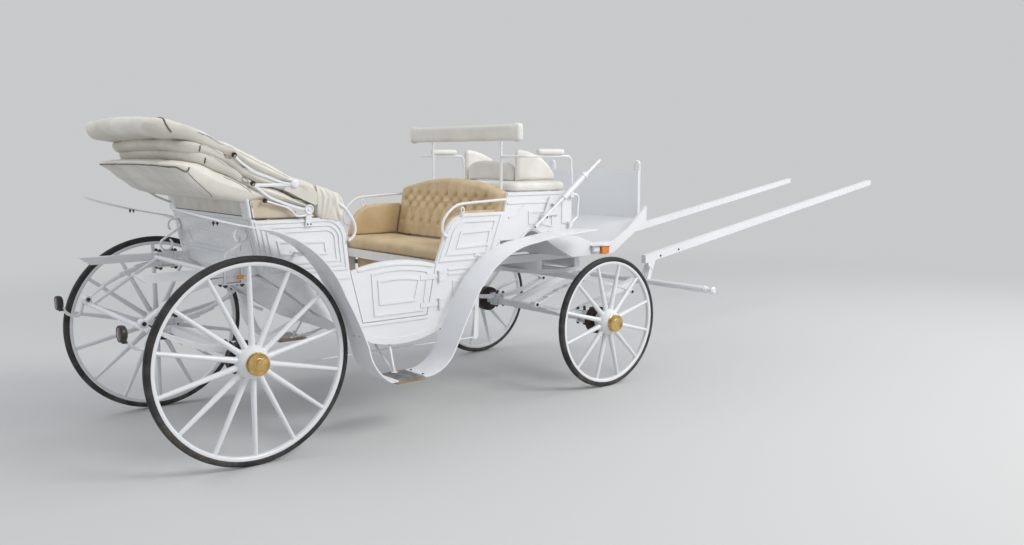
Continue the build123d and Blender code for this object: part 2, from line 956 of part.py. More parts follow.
# Driver's box: hollow and open underneath, its rear wall leaning with the tub
with BuildPart() as driver_box:
    box_inside = tub_half - box_wall
    box_foot_rear = (bench_x(box_foot_z) + seat_gap, box_foot_z)
    box_top_rear = (bench_x(box_top_z) + seat_gap, box_top_z)
    for hand in (-1, 1):
        with BuildSketch(side(hand * box_inside)) as cheek:
            with BuildLine():
                Polyline(
                    (arch_rear_x, box_foot_z),
                    box_foot_rear,
                    box_top_rear,
                    (box_front_x, box_top_z),
                    (box_front_x, box_foot_z),
                    (arch_front_x, box_foot_z),
                )
                ThreePointArc(
                    (arch_front_x, box_foot_z),
                    ((arch_rear_x + arch_front_x) / 2, arch_top_z),
                    (arch_rear_x, box_foot_z),
                )
            make_face()
        extrude(cheek.sketch, amount=-hand * box_wall)
    rear_wall_foot = (bench_foot_x + seat_gap, bench_foot_z)
    plate(
        -box_inside,
        2 * box_inside,
        1,
        [
            rear_wall_foot,
            box_top_rear,
            (box_top_rear[0] + box_wall, box_top_z),
            (rear_wall_foot[0] + box_wall, bench_foot_z),
        ],
    )
    block(
        (box_top_rear[0] + box_wall / 2, box_front_x),
        (-box_inside, box_inside),
        (box_top_z - box_wall, box_top_z),
    )
    block((box_front_x - box_wall, box_front_x), (-box_inside, box_inside), (box_foot_z, box_top_z))
save(driver_box, "driver_box")

# Footwell in front of the box: side bands, floor and sloping toe board
band = [
    (2120, box_foot_z - seat_gap),
    (2230, 998),
    (2388, foot_floor_z),
    (toe_foot_x, foot_floor_z),
    (footwell_front_x, toe_top_z),
    (footwell_front_x, toe_top_z + 110),
    (2943, 1081),
    (toe_foot_x, band_top_z),
    (2580, band_top_z),
    (2453, 1050),
    (box_front_x, box_foot_z - seat_gap),
]
with BuildPart() as footwell:
    well_half = tub_half - box_wall
    for hand in (-1, 1):
        plate(well_half, box_wall, hand, band)
    plate(
        -well_half,
        2 * well_half,
        1,
        [
            (box_front_x, foot_floor_z),
            (toe_foot_x, foot_floor_z),
            (footwell_front_x, toe_top_z),
            (footwell_front_x, toe_top_z + foot_thickness),
            (toe_foot_x - 6, foot_floor_z + foot_thickness),
            (box_front_x, foot_floor_z + foot_thickness),
        ],
    )
    block(
        (box_front_x - box_wall, box_front_x),
        (-well_half, well_half),
        (foot_floor_z, box_foot_z - seat_gap),
    )
save(footwell, "footwell")

dash_x = footwell_front_x + seat_gap
dash_rail_x = dash_x + dash_thickness + dash_rail_radius - 2
with BuildPart() as dash:
    block((dash_x, dash_x + dash_thickness), (-dash_half, dash_half), (dash_foot_z, dash_top_z))
    for hand in (-1, 1):
        outer_leg = hand * (dash_half - dash_rail_radius)
        inner_leg = outer_leg - hand * dash_hairpin
        rod(
            [
                at(dash_rail_x, outer_leg, dash_foot_z),
                at(dash_rail_x, outer_leg, dash_rail_top_z),
                at(dash_rail_x, inner_leg, dash_rail_top_z),
                at(dash_rail_x, inner_leg, dash_foot_z),
            ],
            dash_rail_radius,
            bend=dash_hairpin * 0.45,
        )
save(dash, "dash")

# Driver's seat: long cushion, bucket back, headrest bar, arm tubes with pads
cushion_z = box_top_z + seat_gap
with BuildPart() as driver_cushion:
    block((seat_rear_x, seat_front_x), (-seat_half, seat_half), (cushion_z, cushion_z + seat_cushion))
save(driver_cushion, "driver_cushion")

bucket_foot = cushion_z + seat_cushion + seat_gap
with BuildPart() as driver_backrest:
    block(
        (backrest_x, backrest_x + backrest_thickness),
        (-backrest_half, backrest_half),
        (bucket_foot, bucket_foot + backrest_rise),
    )
    for hand in (-1, 1):
        plate(
            backrest_half,
            wing_thickness,
            hand,
            [
                (backrest_x, bucket_foot),
                (backrest_x + 295, bucket_foot),
                (backrest_x + 205, bucket_foot + 130),
                (backrest_x + 75, bucket_foot + 210),
                (backrest_x, bucket_foot + 220),
            ],
        )
save(driver_backrest, "driver_backrest")

tube_y = tub_half + seat_gap + tube_radius + 10
with BuildPart() as seat_rails:
    for hand in (-1, 1):
        post = hand * post_y
        outer = hand * tube_y
        rod([at(post_x, post, cushion_z), at(post_x, post, post_top_z)], tube_radius)
        rod(
            [
                at(post_x, post, arm_z),
                at(post_x + 30, outer, arm_z),
                at(arm_front_x - 15, outer, arm_z),
                at(arm_front_x, outer, box_top_z - 24),
            ],
            tube_radius,
            bend=40,
        )
        rod(
            [
                at(arm_front_x - 4, outer, box_top_z - 20),
                at(arm_front_x + 60, outer, box_top_z - 30),
                at(arm_front_x + 48, outer, arm_foot_z + 45),
                at(arm_front_x - 16, outer, arm_foot_z),
            ],
            tube_radius,
            bend=30,
        )
        for pad_x, pad_z in ((arm_front_x - 4, box_top_z - 26), (arm_front_x - 16, arm_foot_z)):
            block(
                (pad_x - 14, pad_x + 14),
                pair(hand, tub_half + seat_gap, tube_y + tube_radius),
                (pad_z - 16, pad_z + 16),
            )
save(seat_rails, "seat_rails")

with BuildPart() as arm_pads:
    for hand in (-1, 1):
        block(
            (arm_pad_x, arm_pad_x + arm_pad_length),
            pair(hand, tube_y - arm_pad_width / 2, tube_y + arm_pad_width / 2),
            (arm_z + tube_radius + seat_gap, arm_z + tube_radius + seat_gap + arm_pad_height),
        )
save(arm_pads, "arm_pads")

with BuildPart() as headrest:
    block(
        (headrest_x - headrest_depth / 2, headrest_x + headrest_depth / 2),
        (-headrest_half, headrest_half),
        (post_top_z + seat_gap, post_top_z + seat_gap + headrest_height),
    )
save(headrest, "headrest")

# Tubes on the tub's sides: over the front quarter and at the rear of the door
trim_y = tub_half + moulding_height + seat_gap
rail_y = trim_y + tube_radius
with BuildPart() as side_rails:
    for hand in (-1, 1):
        outer = hand * rail_y
        rod(
            [
                at(door_front_x + 91, outer, front_side_top_z - 168),
                at(door_front_x + 64, outer, front_side_top_z - 28),
                at(door_front_x + 171, outer, front_side_top_z + 64),
                at(bench_x(grab_top_z) + 30, outer, grab_top_z),
            ],
            tube_radius,
            bend=60,
        )
        rod(
            [
                at(door_rear_x - 72, outer, side_top_z - 30),
                at(door_rear_x - 10, outer, side_top_z - 65),
                at(door_rear_x - 20, outer, side_top_z - 155),
            ],
            tube_radius,
            bend=30,
        )
        loop_x = door_front_x + 193
        with Locations(at(loop_x, outer, front_side_top_z + ring_loop)):
            Torus(ring_loop - tube_radius / 2, tube_radius / 2, rotation=(90, 0, 0))
        block(
            (loop_x - tube_radius, loop_x + tube_radius),
            pair(hand, trim_y, trim_y + tube_radius),
            (front_side_top_z - ring_loop, front_side_top_z + tube_radius / 2),
        )
save(side_rails, "side_rails")

# Hood, folded back: the stacked bows across the back and an arm of cloth along each side
with BuildPart() as hood:
    hood_foot = back_top_z + seat_gap
    plate(
        -hood_half,
        2 * hood_half,
        1,
        [
            (back_top_x + wall, hood_foot),
            (back_top_x, hood_foot),
            hood_at(-222, 111),
            hood_at(-372, 137),
            hood_at(-407, 275),
            hood_at(-312, 335),
            hood_at(-342, 385),
            hood_at(-402, 425),
            hood_at(-497, 505),
            hood_at(-482, 555),
            hood_at(-302, 485),
            hood_at(wall, 347),
        ],
    )
    for hand in (-1, 1):
        plate(
            hood_half - hood_arm,
            hood_arm,
            hand,
            [
                hood_at(0, 135),
                hood_at(0, 356),
                hood_at(275, 230),
                hood_at(452, 157),
                hood_at(549, 87),
                hood_at(561, 35),
                hood_at(522, seat_gap),
                hood_at(374, seat_gap),
                hood_at(228, 85),
            ],
        )
save(hood, "hood")

iron_foot_y = hood_half + seat_gap
iron_y = iron_foot_y + iron_thickness / 2
with BuildPart() as hood_irons:
    pivot = hood_at(346, 50)
    ball = hood_at(262, 193)
    lower_bolt = hood_at(91, 102)
    middle_bolt = hood_at(31, 197)
    upper_bolt = hood_at(-66, 347)
    for hand in (-1, 1):
        for (x, z), boss in (
            (pivot, 26),
            (ball, 20),
            (lower_bolt, 12),
            (middle_bolt, 12),
            (upper_bolt, 12),
        ):
            crosswise(x, z, boss, pair(hand, iron_foot_y, iron_foot_y + iron_thickness))
        for start, end in (
            (pivot, lower_bolt),
            (ball, middle_bolt),
            (ball, upper_bolt),
            (pivot, ball),
        ):
            rod([at(start[0], hand * iron_y, start[1]), at(end[0], hand * iron_y, end[1])], iron_radius)
        plate(
            trim_y,
            iron_foot_y + iron_thickness - trim_y,
            hand,
            [
                hood_at(328, -50),
                hood_at(368, -50),
                hood_at(358, 0),
                hood_at(358, 45),
                hood_at(332, 45),
                hood_at(332, 0),
            ],
        )
        plate(
            tub_half - 2 * wall,
            iron_foot_y - tub_half + 2 * wall,
            hand,
            [hood_at(308, 0), hood_at(384, 0), hood_at(384, 80), hood_at(308, 80)],
            mode=Mode.SUBTRACT,
        )
save(hood_irons, "hood_irons")

# Mudguards: one strip over each wheel, pointed at its free end and sweeping down to the step between them
rear_top = 2 * rear_radius
front_top = 2 * front_radius
guard_foot = step_z + guard_thickness
guard_middle = (guard_inner + guard_outer) / 2
rear_tip = (-380, rear_top + 258)
rear_crest = (75, rear_top + 138)
rear_shoulder = (330, rear_top - 8)
rear_fall = (482, rear_top - 238)
front_rise = (steer_x - 1225, front_top - 100)
front_shoulder = (steer_x - 1040, front_top + 75)
front_crest = (steer_x - 784, front_top + 160)
front_tip = (steer_x - 310, front_top + 206)
rear_stay = (rear_shoulder[0] - 0.7 * stay_drop, rear_shoulder[1] - 0.7 * stay_drop)
front_stay = (front_shoulder[0] + 0.5 * stay_drop, front_shoulder[1] - 0.86 * stay_drop)
box_stay = (steer_x - 420, front_top + 199 - stay_drop)
stay_reach = guard_inner + 40


def guard_plan(tip_x, neck_x, far_x):
    """Trims the strips to their plan: pointed at tip_x, full width from neck_x to far_x."""
    with BuildSketch(Plane(origin=at(0, 0, 0))) as plan:
        for hand in (-1, 1):
            outer = hand * guard_outer
            inner = hand * guard_inner
            middle = hand * guard_middle
            knee_x = tip_x + 0.35 * (neck_x - tip_x)
            with BuildLine():
                ThreePointArc((tip_x, middle), (knee_x, middle + 0.72 * (outer - middle)), (neck_x, outer))
                Polyline((neck_x, outer), (far_x, outer), (far_x, inner), (neck_x, inner))
                ThreePointArc((neck_x, inner), (knee_x, middle + 0.72 * (inner - middle)), (tip_x, middle))
            make_face()
    extrude(plan.sketch, amount=2 * rear_top, mode=Mode.INTERSECT)


with BuildPart() as rear_guards:
    with BuildSketch(side(0)) as strip:
        with BuildLine():
            ThreePointArc(rear_tip, (-150, rear_top + 186), rear_crest)
            ThreePointArc(rear_crest, rear_shoulder, rear_fall)
            ThreePointArc(rear_fall, (556, 712), (617, 561))
            ThreePointArc((617, 561), (663, 437), (step_rear + 12, guard_foot))
            Line((step_rear + 12, guard_foot), (step_rear + 12 + step_tongue, guard_foot))
            offset(amount=guard_thickness, side=Side.RIGHT, closed=True)
        make_face()
    extrude(strip.sketch, amount=guard_outer, both=True)
    guard_plan(rear_tip[0], rear_tip[0] + guard_point, step_front)
    for hand in (-1, 1):
        crosswise(rear_stay[0], rear_stay[1], stay_radius, pair(hand, trim_y, stay_reach))
save(rear_guards, "rear_guards")

with BuildPart() as front_guards:
    with BuildSketch(side(0)) as strip:
        with BuildLine():
            Line((step_front - 16 - step_tongue, guard_foot), (step_front - 16, guard_foot))
            ThreePointArc((step_front - 16, guard_foot), (1125, 395), (1195, 484))
            ThreePointArc((1195, 484), (1287, 660), front_rise)
            ThreePointArc(front_rise, front_shoulder, front_crest)
            ThreePointArc(front_crest, (steer_x - 550, front_top + 191), front_tip)
            offset(amount=guard_thickness, side=Side.RIGHT, closed=True)
        make_face()
    extrude(strip.sketch, amount=guard_outer, both=True)
    guard_plan(front_tip[0], front_tip[0] - guard_point, step_rear)
    for hand in (-1, 1):
        for x, z in (front_stay, box_stay):
            crosswise(x, z, stay_radius, pair(hand, trim_y, stay_reach))
save(front_guards, "front_guards")

# Mouldings on the body: nested beads in each panel, belts, the band along the hull, the box's mouldings
rear_field = [(222, 1152), (512, 1138), (524, 1060), (238, 1072)]
front_field = [(1441, 1138), (1684, 1146), (1658, 1040), (1402, 1032)]
low_field = [(1376, 838), (1492, 838), (1446, 742), (1376, 742)]
box_field = [(1992, 1244), (2208, 1240), (2208, 1128), (2107, 1150), (1992, 1158)]
rear_belt_z = 926
front_belt_heights = (909, 881)
with BuildPart() as body_mouldings:
    panel_top = side_top_z - 8
    front_panel_top = front_side_top_z - 8
    edge_lean = 64 / (front_side_top_z - 138 - door_shoulder_z)
    front_panel_x = door_front_x + panel_inset + edge_lean * (front_panel_foot_z - door_shoulder_z)
    front_panel_end = line_x(hull_front, hull_end, front_panel_foot_z) - 2 * panel_inset
    for hand in (-1, 1):
        with BuildSketch(side(hand * tub_half)) as rear_panel:
            with BuildLine():
                Polyline(
                    (door_rear_x - 136, panel_top),
                    (back_x(panel_top) + panel_inset, panel_top),
                    (back_x(rear_panel_foot_z) + panel_inset, rear_panel_foot_z),
                    (door_rear_x - 12, rear_panel_foot_z),
                    (door_rear_x - 30, panel_top - 128),
                )
                ThreePointArc(
                    (door_rear_x - 30, panel_top - 128),
                    (door_rear_x - 58, panel_top - 40),
                    (door_rear_x - 136, panel_top),
                )
            beads(make_face(mode=Mode.PRIVATE), (0, 26, 52))
        extrude(rear_panel.sketch, amount=-hand * moulding_height)
        with BuildSketch(side(hand * tub_half)) as front_panel:
            with BuildLine():
                Polyline(
                    (door_front_x + 78, front_panel_top - 130),
                    (front_panel_x, front_panel_foot_z),
                    (front_panel_end, front_panel_foot_z),
                    (bench_x(front_panel_top) - panel_inset, front_panel_top),
                    (door_front_x + 218, front_panel_top),
                )
                ThreePointArc(
                    (door_front_x + 218, front_panel_top),
                    (door_front_x + 128, front_panel_top - 44),
                    (door_front_x + 78, front_panel_top - 130),
                )
            beads(make_face(mode=Mode.PRIVATE), (0, 36))
        extrude(front_panel.sketch, amount=-hand * moulding_height)
        with BuildSketch(side(hand * tub_half)) as hull_rim:
            with BuildLine():
                hull_curve()
                hull_curve(-hull_band)
                Line(hull_rear, (hull_rear[0], hull_rear[1] + hull_band))
                Line(hull_end, (hull_end[0], hull_end[1] + hull_band))
            make_face()
        extrude(hull_rim.sketch, amount=-hand * moulding_height)
        frame_on_side(hand, rear_field, width=bead_width)
        frame_on_side(hand, front_field)
        frame_on_side(hand, low_field, width=bead_width)
        belt_end = line_x((door_rear_x, door_shoulder_z), (sill_rear_x, sill_z), rear_belt_z) - 8
        belt_on_side(hand, back_foot_x + 97, belt_end, rear_belt_z, belt_width)
        for z in front_belt_heights:
            belt_on_side(hand, low_field[0][0] - 36, line_x(hull_front, hull_end, z) - bead_width, z)
        belt_on_side(hand, sill_rear_x - 8, sill_front_x + 8, sill_z - bead_width)
        for x, z in (rear_stay, front_stay, box_stay):
            crosswise(x, z, stay_flange, pair(hand, tub_half, tub_half + moulding_height))
        seat_band_foot = box_top_z - 66
        box_rear_x = bench_x(seat_band_foot) + panel_inset
        belt_on_side(hand, box_rear_x, box_front_x - 96, box_top_z - 9, 18)
        belt_on_side(hand, box_rear_x, box_front_x - 160, seat_band_foot, bead_width)
        frame_on_side(hand, box_field, width=bead_width)
        with BuildSketch(side(hand * tub_half)) as curves:
            with BuildLine():
                ThreePointArc((1957, 1281), (1890, 1233), (1822, 1208))
            trace(line_width=bead_width)
            with BuildLine():
                ThreePointArc(
                    (arch_rear_x - 16, box_foot_z + 8),
                    ((arch_rear_x + arch_front_x) / 2, arch_top_z + 16),
                    (arch_front_x + 16, box_foot_z + 8),
                )
            trace(line_width=bead_width)
        extrude(curves.sketch, amount=-hand * moulding_height)
        block(
            (box_front_x - 92, box_front_x - 50),
            pair(hand, tub_half, tub_half + moulding_height),
            (1150, box_top_z - 58),
        )
    back_face = Plane(
        origin=at(back_top_x, 0, back_top_z),
        x_dir=(0, -1, 0),
        z_dir=(back_foot_z - back_top_z, 0, back_top_x - back_foot_x),
    )
    back_half = tub_half - 38
    with BuildSketch(back_face) as back_beads:
        with Locations((0, -47)):
            Rectangle(2 * back_half, bead_width)
    extrude(back_beads.sketch, amount=moulding_height)
    with BuildSketch(back_face) as back_frames:
        with BuildLine():
            Polyline((-back_half, -68), (back_half, -68), (back_half, -296), (-back_half, -296), close=True)
        beads(make_face(mode=Mode.PRIVATE), (0, 26))
        with BuildLine():
            Polyline((-390, -162), (390, -162), (360, -246), (-360, -246), close=True)
        beads(make_face(mode=Mode.PRIVATE), (0,))
    extrude(back_frames.sketch, amount=moulding_height)
save(body_mouldings, "body_mouldings")

with BuildPart() as steps:
    for hand in (-1, 1):
        block(
            (step_rear, step_front),
            pair(hand, guard_inner - 40, guard_outer),
            (step_z - seat_gap - step_thickness, step_z - seat_gap),
        )
        for x in (840, 950):
            rod([at(x, hand * (tub_half - 70), 540), at(x, hand * (guard_inner - 25), step_z - 10)], 10)
    clear_hull()
save(steps, "steps")

# Underframe: beams from the tub's front slope under the driver's box, with the cross beams of the turntable
beam_top_z = foot_floor_z - seat_gap
beam_foot_z = beam_top_z - beam_height
with BuildPart() as underframe:
    for hand in (-1, 1):
        block(
            (hull_front[0], beam_front_x),
            pair(hand, beam_y - beam_width / 2, beam_y + beam_width / 2),
            (beam_foot_z, beam_top_z),
        )
    for x in (riser_rear_x, riser_front_x):
        block(
            (x - riser_depth / 2, x + riser_depth / 2),
            (-beam_y, beam_y),
            (beam_foot_z - cross_beam, beam_foot_z),
        )
    clear_hull()
save(underframe, "underframe")

front_seat_z = front_radius + axle_bar / 2
with BuildPart() as front_springs:
    spring_pair(steer_x, front_seat_z, bolster_foot_z - seat_gap, front_spring_half, front_leaf)
save(front_springs, "front_springs")

front_stack = leaf_count * front_leaf
front_spring_top = bolster_foot_z - seat_gap
front_spring_rise = (front_spring_top - front_seat_z) / 2 - (leaf_count - 0.5) * front_leaf
with BuildPart() as spring_clamps_front:
    for hand in (-1, 1):
        clamp(
            steer_x,
            hand,
            axle_clamp_reach,
            front_radius - axle_bar / 2 - seat_gap,
            front_seat_z + front_stack + sag(front_spring_half, front_spring_rise, axle_clamp_corner) + seat_gap,
        )
save(spring_clamps_front, "spring_clamps_front")

# Turntable: the lower half turns with the front axle, the upper half carries the beams
ring_foot_z = bolster_foot_z + bolster_height
ring_top_z = ring_foot_z + ring_thickness
with BuildPart() as turntable_lower:
    bolster_half = spring_y + leaf_width / 2
    block(
        (steer_x - bolster_depth / 2, steer_x + bolster_depth / 2),
        (-bolster_half, bolster_half),
        (bolster_foot_z, ring_foot_z),
    )
    with Locations(at(steer_x, 0, ring_foot_z)):
        Cylinder(ring_outer, ring_thickness, align=(Align.CENTER, Align.CENTER, Align.MIN))
        Cylinder(
            ring_inner, ring_thickness, align=(Align.CENTER, Align.CENTER, Align.MIN), mode=Mode.SUBTRACT
        )
        Cylinder(4 * kingpin_radius, ring_thickness, align=(Align.CENTER, Align.CENTER, Align.MIN))
    with Locations(at(steer_x, 0, bolster_foot_z)):
        Cylinder(kingpin_radius + bearing_gap, 4 * bolster_height, mode=Mode.SUBTRACT)
save(turntable_lower, "turntable_lower")

with BuildPart() as turntable_upper:
    upper_foot = ring_top_z + running_gap
    upper_top = upper_foot + ring_thickness
    with Locations(at(steer_x, 0, upper_foot)):
        Cylinder(ring_outer, ring_thickness, align=(Align.CENTER, Align.CENTER, Align.MIN))
        Cylinder(
            ring_inner, ring_thickness, align=(Align.CENTER, Align.CENTER, Align.MIN), mode=Mode.SUBTRACT
        )
    block(
        (steer_x - bolster_depth / 2, steer_x + bolster_depth / 2),
        (-ring_inner - 10, ring_inner + 10),
        (upper_foot, upper_top),
    )
    with Locations(at(steer_x, 0, bolster_foot_z)):
        Cylinder(
            kingpin_radius, upper_top - bolster_foot_z, align=(Align.CENTER, Align.CENTER, Align.MIN)
        )
    for x in (riser_rear_x, riser_front_x):
        block(
            (x - riser_depth / 2, x + riser_depth / 2),
            (-beam_y, beam_y),
            (upper_top, beam_foot_z - cross_beam - seat_gap),
        )
save(turntable_upper, "turntable_upper")

# Draught frame: arms from the front axle to the splinter bar, which reaches out for side horses
pin_reach = shaft_width / 2 + lug_thickness + 8
with BuildPart() as draught_frame:
    arm_root_x = steer_x + axle_bar / 2 + seat_gap
    for hand in (-1, 1):
        plate(
            arm_y - arm_width / 2,
            arm_width,
            hand,
            [
                (arm_root_x, front_radius - arm_height / 2),
                (arm_root_x, front_radius + arm_height / 2),
                (splinter_x - 10, splinter_z + splinter_radius),
                (splinter_x, splinter_z - splinter_radius),
            ],
        )
        for gap in (-1, 1):
            lug_y = hand * shaft_y + gap * (shaft_width / 2 + running_gap + lug_thickness / 2)
            plate(
                lug_y - lug_thickness / 2,
                lug_thickness,
                1,
                [
                    (splinter_x - lug_radius, splinter_z),
                    (shaft_hinge_x - lug_radius, shaft_hinge_z + lug_radius),
                    (shaft_hinge_x + lug_radius, shaft_hinge_z + lug_radius),
                    (splinter_x + lug_radius, splinter_z),
                ],
            )
        pin_ends = pair(hand, shaft_y - pin_reach, shaft_y + pin_reach)
        crosswise(shaft_hinge_x, shaft_hinge_z, shaft_pin, pin_ends)
    bar_half = outrigger_reach - spigot_length
    crosswise(splinter_x, splinter_z, splinter_radius, (-bar_half, bar_half))
    crosswise(splinter_x, splinter_z, spigot_radius, (-outrigger_reach, outrigger_reach))
save(draught_frame, "draught_frame")

for hand, word in ((-1, "right"), (1, "left")):
    with BuildPart() as shaft:
        tip_z = shaft_root_z + shaft_slope * (shaft_tip_reach - shaft_hinge_x)
        near = hand * shaft_y - shaft_width / 2
        plate(
            near,
            shaft_width,
            1,
            [
                (shaft_hinge_x - 60, shaft_root_z - shaft_height / 2),
                (shaft_hinge_x - 60, shaft_root_z + shaft_height / 2),
                (shaft_tip_reach, tip_z + shaft_tip_height / 2),
                (shaft_tip_reach, tip_z - shaft_tip_height / 2),
            ],
        )
        plate(
            near,
            shaft_width,
            1,
            [
                (shaft_hinge_x - 1.5 * lug_radius, shaft_root_z),
                (shaft_hinge_x + 3 * lug_radius, shaft_root_z),
                (shaft_hinge_x + lug_radius, shaft_hinge_z - lug_radius),
                (shaft_hinge_x - lug_radius, shaft_hinge_z - lug_radius),
            ],
        )
        crosswise(
            shaft_hinge_x,
            shaft_hinge_z,
            shaft_pin + bearing_gap,
            pair(hand, shaft_y - pin_reach, shaft_y + pin_reach),
            Mode.SUBTRACT,
        )
    save(shaft, f"shaft_{word}")

# Brake lever on the right side of the driver's box: a rod with a sleeve and collar, its pivot and its sector
lever_foot = (2010, 1141)
lever_pivot = (2107, 1203)
lever_sleeve = (2262, 1322)
lever_collar = (2440, 1462)
lever_tip = (2599, 1574)
lever_y = tub_half + 50
lever_boss = 22
with BuildPart() as brake_lever:
    crosswise(lever_pivot[0], lever_pivot[1], lever_boss, (-lever_y, -tub_half - seat_gap))
    rod([at(lever_foot[0], -lever_y, lever_foot[1]), at(lever_tip[0], -lever_y, lever_tip[1])], 10)
    for start, end, radius in (
        (lever_sleeve, lever_collar, 19),
        (lever_collar, (lever_collar[0] + 26, lever_collar[1] + 19), 23),
    ):
        rod([at(start[0], -lever_y, start[1]), at(end[0], -lever_y, end[1])], radius)
    with BuildSketch(side(-trim_y - 6)) as sector:
        with BuildLine():
            arc_far = (lever_pivot[0] + 60, lever_pivot[1] + 128)
            arc_near = (lever_pivot[0] + 146, lever_pivot[1] + 10)
            Line(lever_pivot, arc_far)
            ThreePointArc(arc_far, (lever_pivot[0] + 122, lever_pivot[1] + 84), arc_near)
            Line(arc_near, lever_pivot)
        make_face()
        with Locations((lever_pivot[0] + 78, lever_pivot[1] + 58)):
            Circle(26, mode=Mode.SUBTRACT)
    extrude(sector.sketch, amount=6, both=True)
save(brake_lever, "brake_lever")

# Lamps: under the footwell's edge, and at the tail on bent tubes from the rear tie
with BuildPart() as lamps:
    lamp_y = tie_half + 15
    lamp_z = 751
    marker_x = 2570
    marker_length = 60
    marker_height = 45
    for hand in (-1, 1):
        block(
            (marker_x, marker_x + marker_length),
            pair(hand, tub_half + seat_gap, tub_half + 30),
            (foot_floor_z + 18, foot_floor_z + 18 + marker_height),
        )
        crosswise(tie_x, tie_z, tie_radius, pair(hand, tie_half + seat_gap, lamp_y + tube_radius))
        rod(
            [
                at(tie_x, hand * lamp_y, tie_z),
                at(-485, hand * lamp_y, 655),
                at(-560, hand * lamp_y, 680),
                at(-585, hand * lamp_y, lamp_z),
            ],
            tube_radius,
            bend=25,
        )
        with Locations(at(-tail_reach, hand * lamp_y, lamp_z)):
            Cylinder(42, 40, rotation=(0, 90, 0), align=(Align.CENTER, Align.CENTER, Align.MIN))
save(lamps, "lamps")
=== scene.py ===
import json
import math

import bmesh
import bpy
from mathutils import Matrix, Vector, noise


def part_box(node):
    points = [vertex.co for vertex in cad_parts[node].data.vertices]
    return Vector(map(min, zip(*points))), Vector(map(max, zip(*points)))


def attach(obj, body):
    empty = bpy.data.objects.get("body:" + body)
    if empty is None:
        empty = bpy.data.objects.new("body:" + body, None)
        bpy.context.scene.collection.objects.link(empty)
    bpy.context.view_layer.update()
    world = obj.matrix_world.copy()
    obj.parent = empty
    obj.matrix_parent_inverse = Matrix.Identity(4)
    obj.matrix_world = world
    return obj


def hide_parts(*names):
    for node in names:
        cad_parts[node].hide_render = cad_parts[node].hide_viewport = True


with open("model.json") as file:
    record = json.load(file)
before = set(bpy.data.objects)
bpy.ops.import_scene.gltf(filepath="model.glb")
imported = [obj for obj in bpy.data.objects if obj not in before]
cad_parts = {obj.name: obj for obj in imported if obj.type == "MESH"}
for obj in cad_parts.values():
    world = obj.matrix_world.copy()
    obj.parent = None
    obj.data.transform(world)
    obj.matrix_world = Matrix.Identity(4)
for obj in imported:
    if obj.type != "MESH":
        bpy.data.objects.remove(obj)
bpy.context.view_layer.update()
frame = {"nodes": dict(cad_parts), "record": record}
scene = bpy.context.scene

# Points are given in millimetres from the rear axle, on the ground line, as in the CAD source.
axle_low, axle_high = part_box("axle_rear")
AXLE_X = (axle_low.x + axle_high.x) / 2


def at(x, y, z):
    """A point in the frame's metres, from millimetres behind or before the rear axle."""
    return Vector((AXLE_X + x / 1000, y / 1000, z / 1000))


# ---------------------------------------------------------------- camera, floor and light

CAMERA = Vector((-4.8233, -5.1203, 1.6048))
YAW, PITCH = math.radians(39.498), math.radians(7.347)
FOCAL_PIXELS, IMAGE_WIDTH = 907.5, 1024
ahead = Vector((math.sin(YAW) * math.cos(PITCH), math.cos(YAW) * math.cos(PITCH), -math.sin(PITCH)))
across = Vector((math.cos(YAW), -math.sin(YAW), 0))
upward = across.cross(ahead)
camera_data = bpy.data.cameras.new("camera")
camera_data.sensor_width = 36
camera_data.lens = FOCAL_PIXELS / IMAGE_WIDTH * camera_data.sensor_width
camera = bpy.data.objects.new("camera", camera_data)
turn = Matrix((across, upward, -ahead)).transposed()
camera.matrix_world = Matrix.Translation(CAMERA) @ turn.to_4x4()
scene.collection.objects.link(camera)
scene.camera = camera
scene.view_settings.view_transform = "Standard"


def node(tree, kind, **values):
    """A shader node with its settings and its sockets' values."""
    made = tree.nodes.new(kind)
    for key, value in values.items():
        if hasattr(made, key):
            setattr(made, key, value)
        else:
            made.inputs[key.replace("_", " ")].default_value = value
    return made


def wired(tree, kind, *sources, **values):
    """A shader node whose first sockets are fed by the sources."""
    made = node(tree, kind, **values)
    for source, socket in zip(sources, made.inputs):
        tree.links.new(source, socket)
    return made


def seen_directly(tree):
    """1 for the rays that see the backdrop as it is: from the camera, and in a mirror."""
    rays = node(tree, "ShaderNodeLightPath").outputs
    return wired(tree, "ShaderNodeMath", rays["Is Camera Ray"], rays["Is Glossy Ray"],
                 operation="MAXIMUM").outputs[0]


FLOOR = 60
floor_mesh = bpy.data.meshes.new("floor")
floor_mesh.from_pydata([(-FLOOR, -FLOOR, 0), (FLOOR, -FLOOR, 0), (FLOOR, FLOOR, 0), (-FLOOR, FLOOR, 0)], [],
                       [(0, 1, 2, 3)])
floor = bpy.data.objects.new("floor", floor_mesh)
scene.collection.objects.link(floor)
BACKDROP = (0.58, 0.585, 0.59, 1)
floor_paint = bpy.data.materials.new("floor_paint")
floor_paint.use_nodes = True
ground = floor_paint.node_tree
floor_shader = ground.nodes["Principled BSDF"]
floor_shader.inputs["Base Color"].default_value = (0.56, 0.56, 0.555, 1)
floor_shader.inputs["Roughness"].default_value = 0.9
distance = node(ground, "ShaderNodeVectorMath", operation="LENGTH")
ground.links.new(node(ground, "ShaderNodeTexCoord").outputs["Object"], distance.inputs[0])
away = wired(ground, "ShaderNodeMapRange", distance.outputs["Value"], interpolation_type="SMOOTHSTEP",
             From_Min=3.0, From_Max=9.5)
share = wired(ground, "ShaderNodeMath", away.outputs[0], seen_directly(ground), operation="MULTIPLY")
blend = node(ground, "ShaderNodeMixShader")
ground.links.new(share.outputs[0], blend.inputs[0])
ground.links.new(floor_shader.outputs[0], blend.inputs[1])
ground.links.new(node(ground, "ShaderNodeEmission", Color=BACKDROP, Strength=1.0).outputs[0], blend.inputs[2])
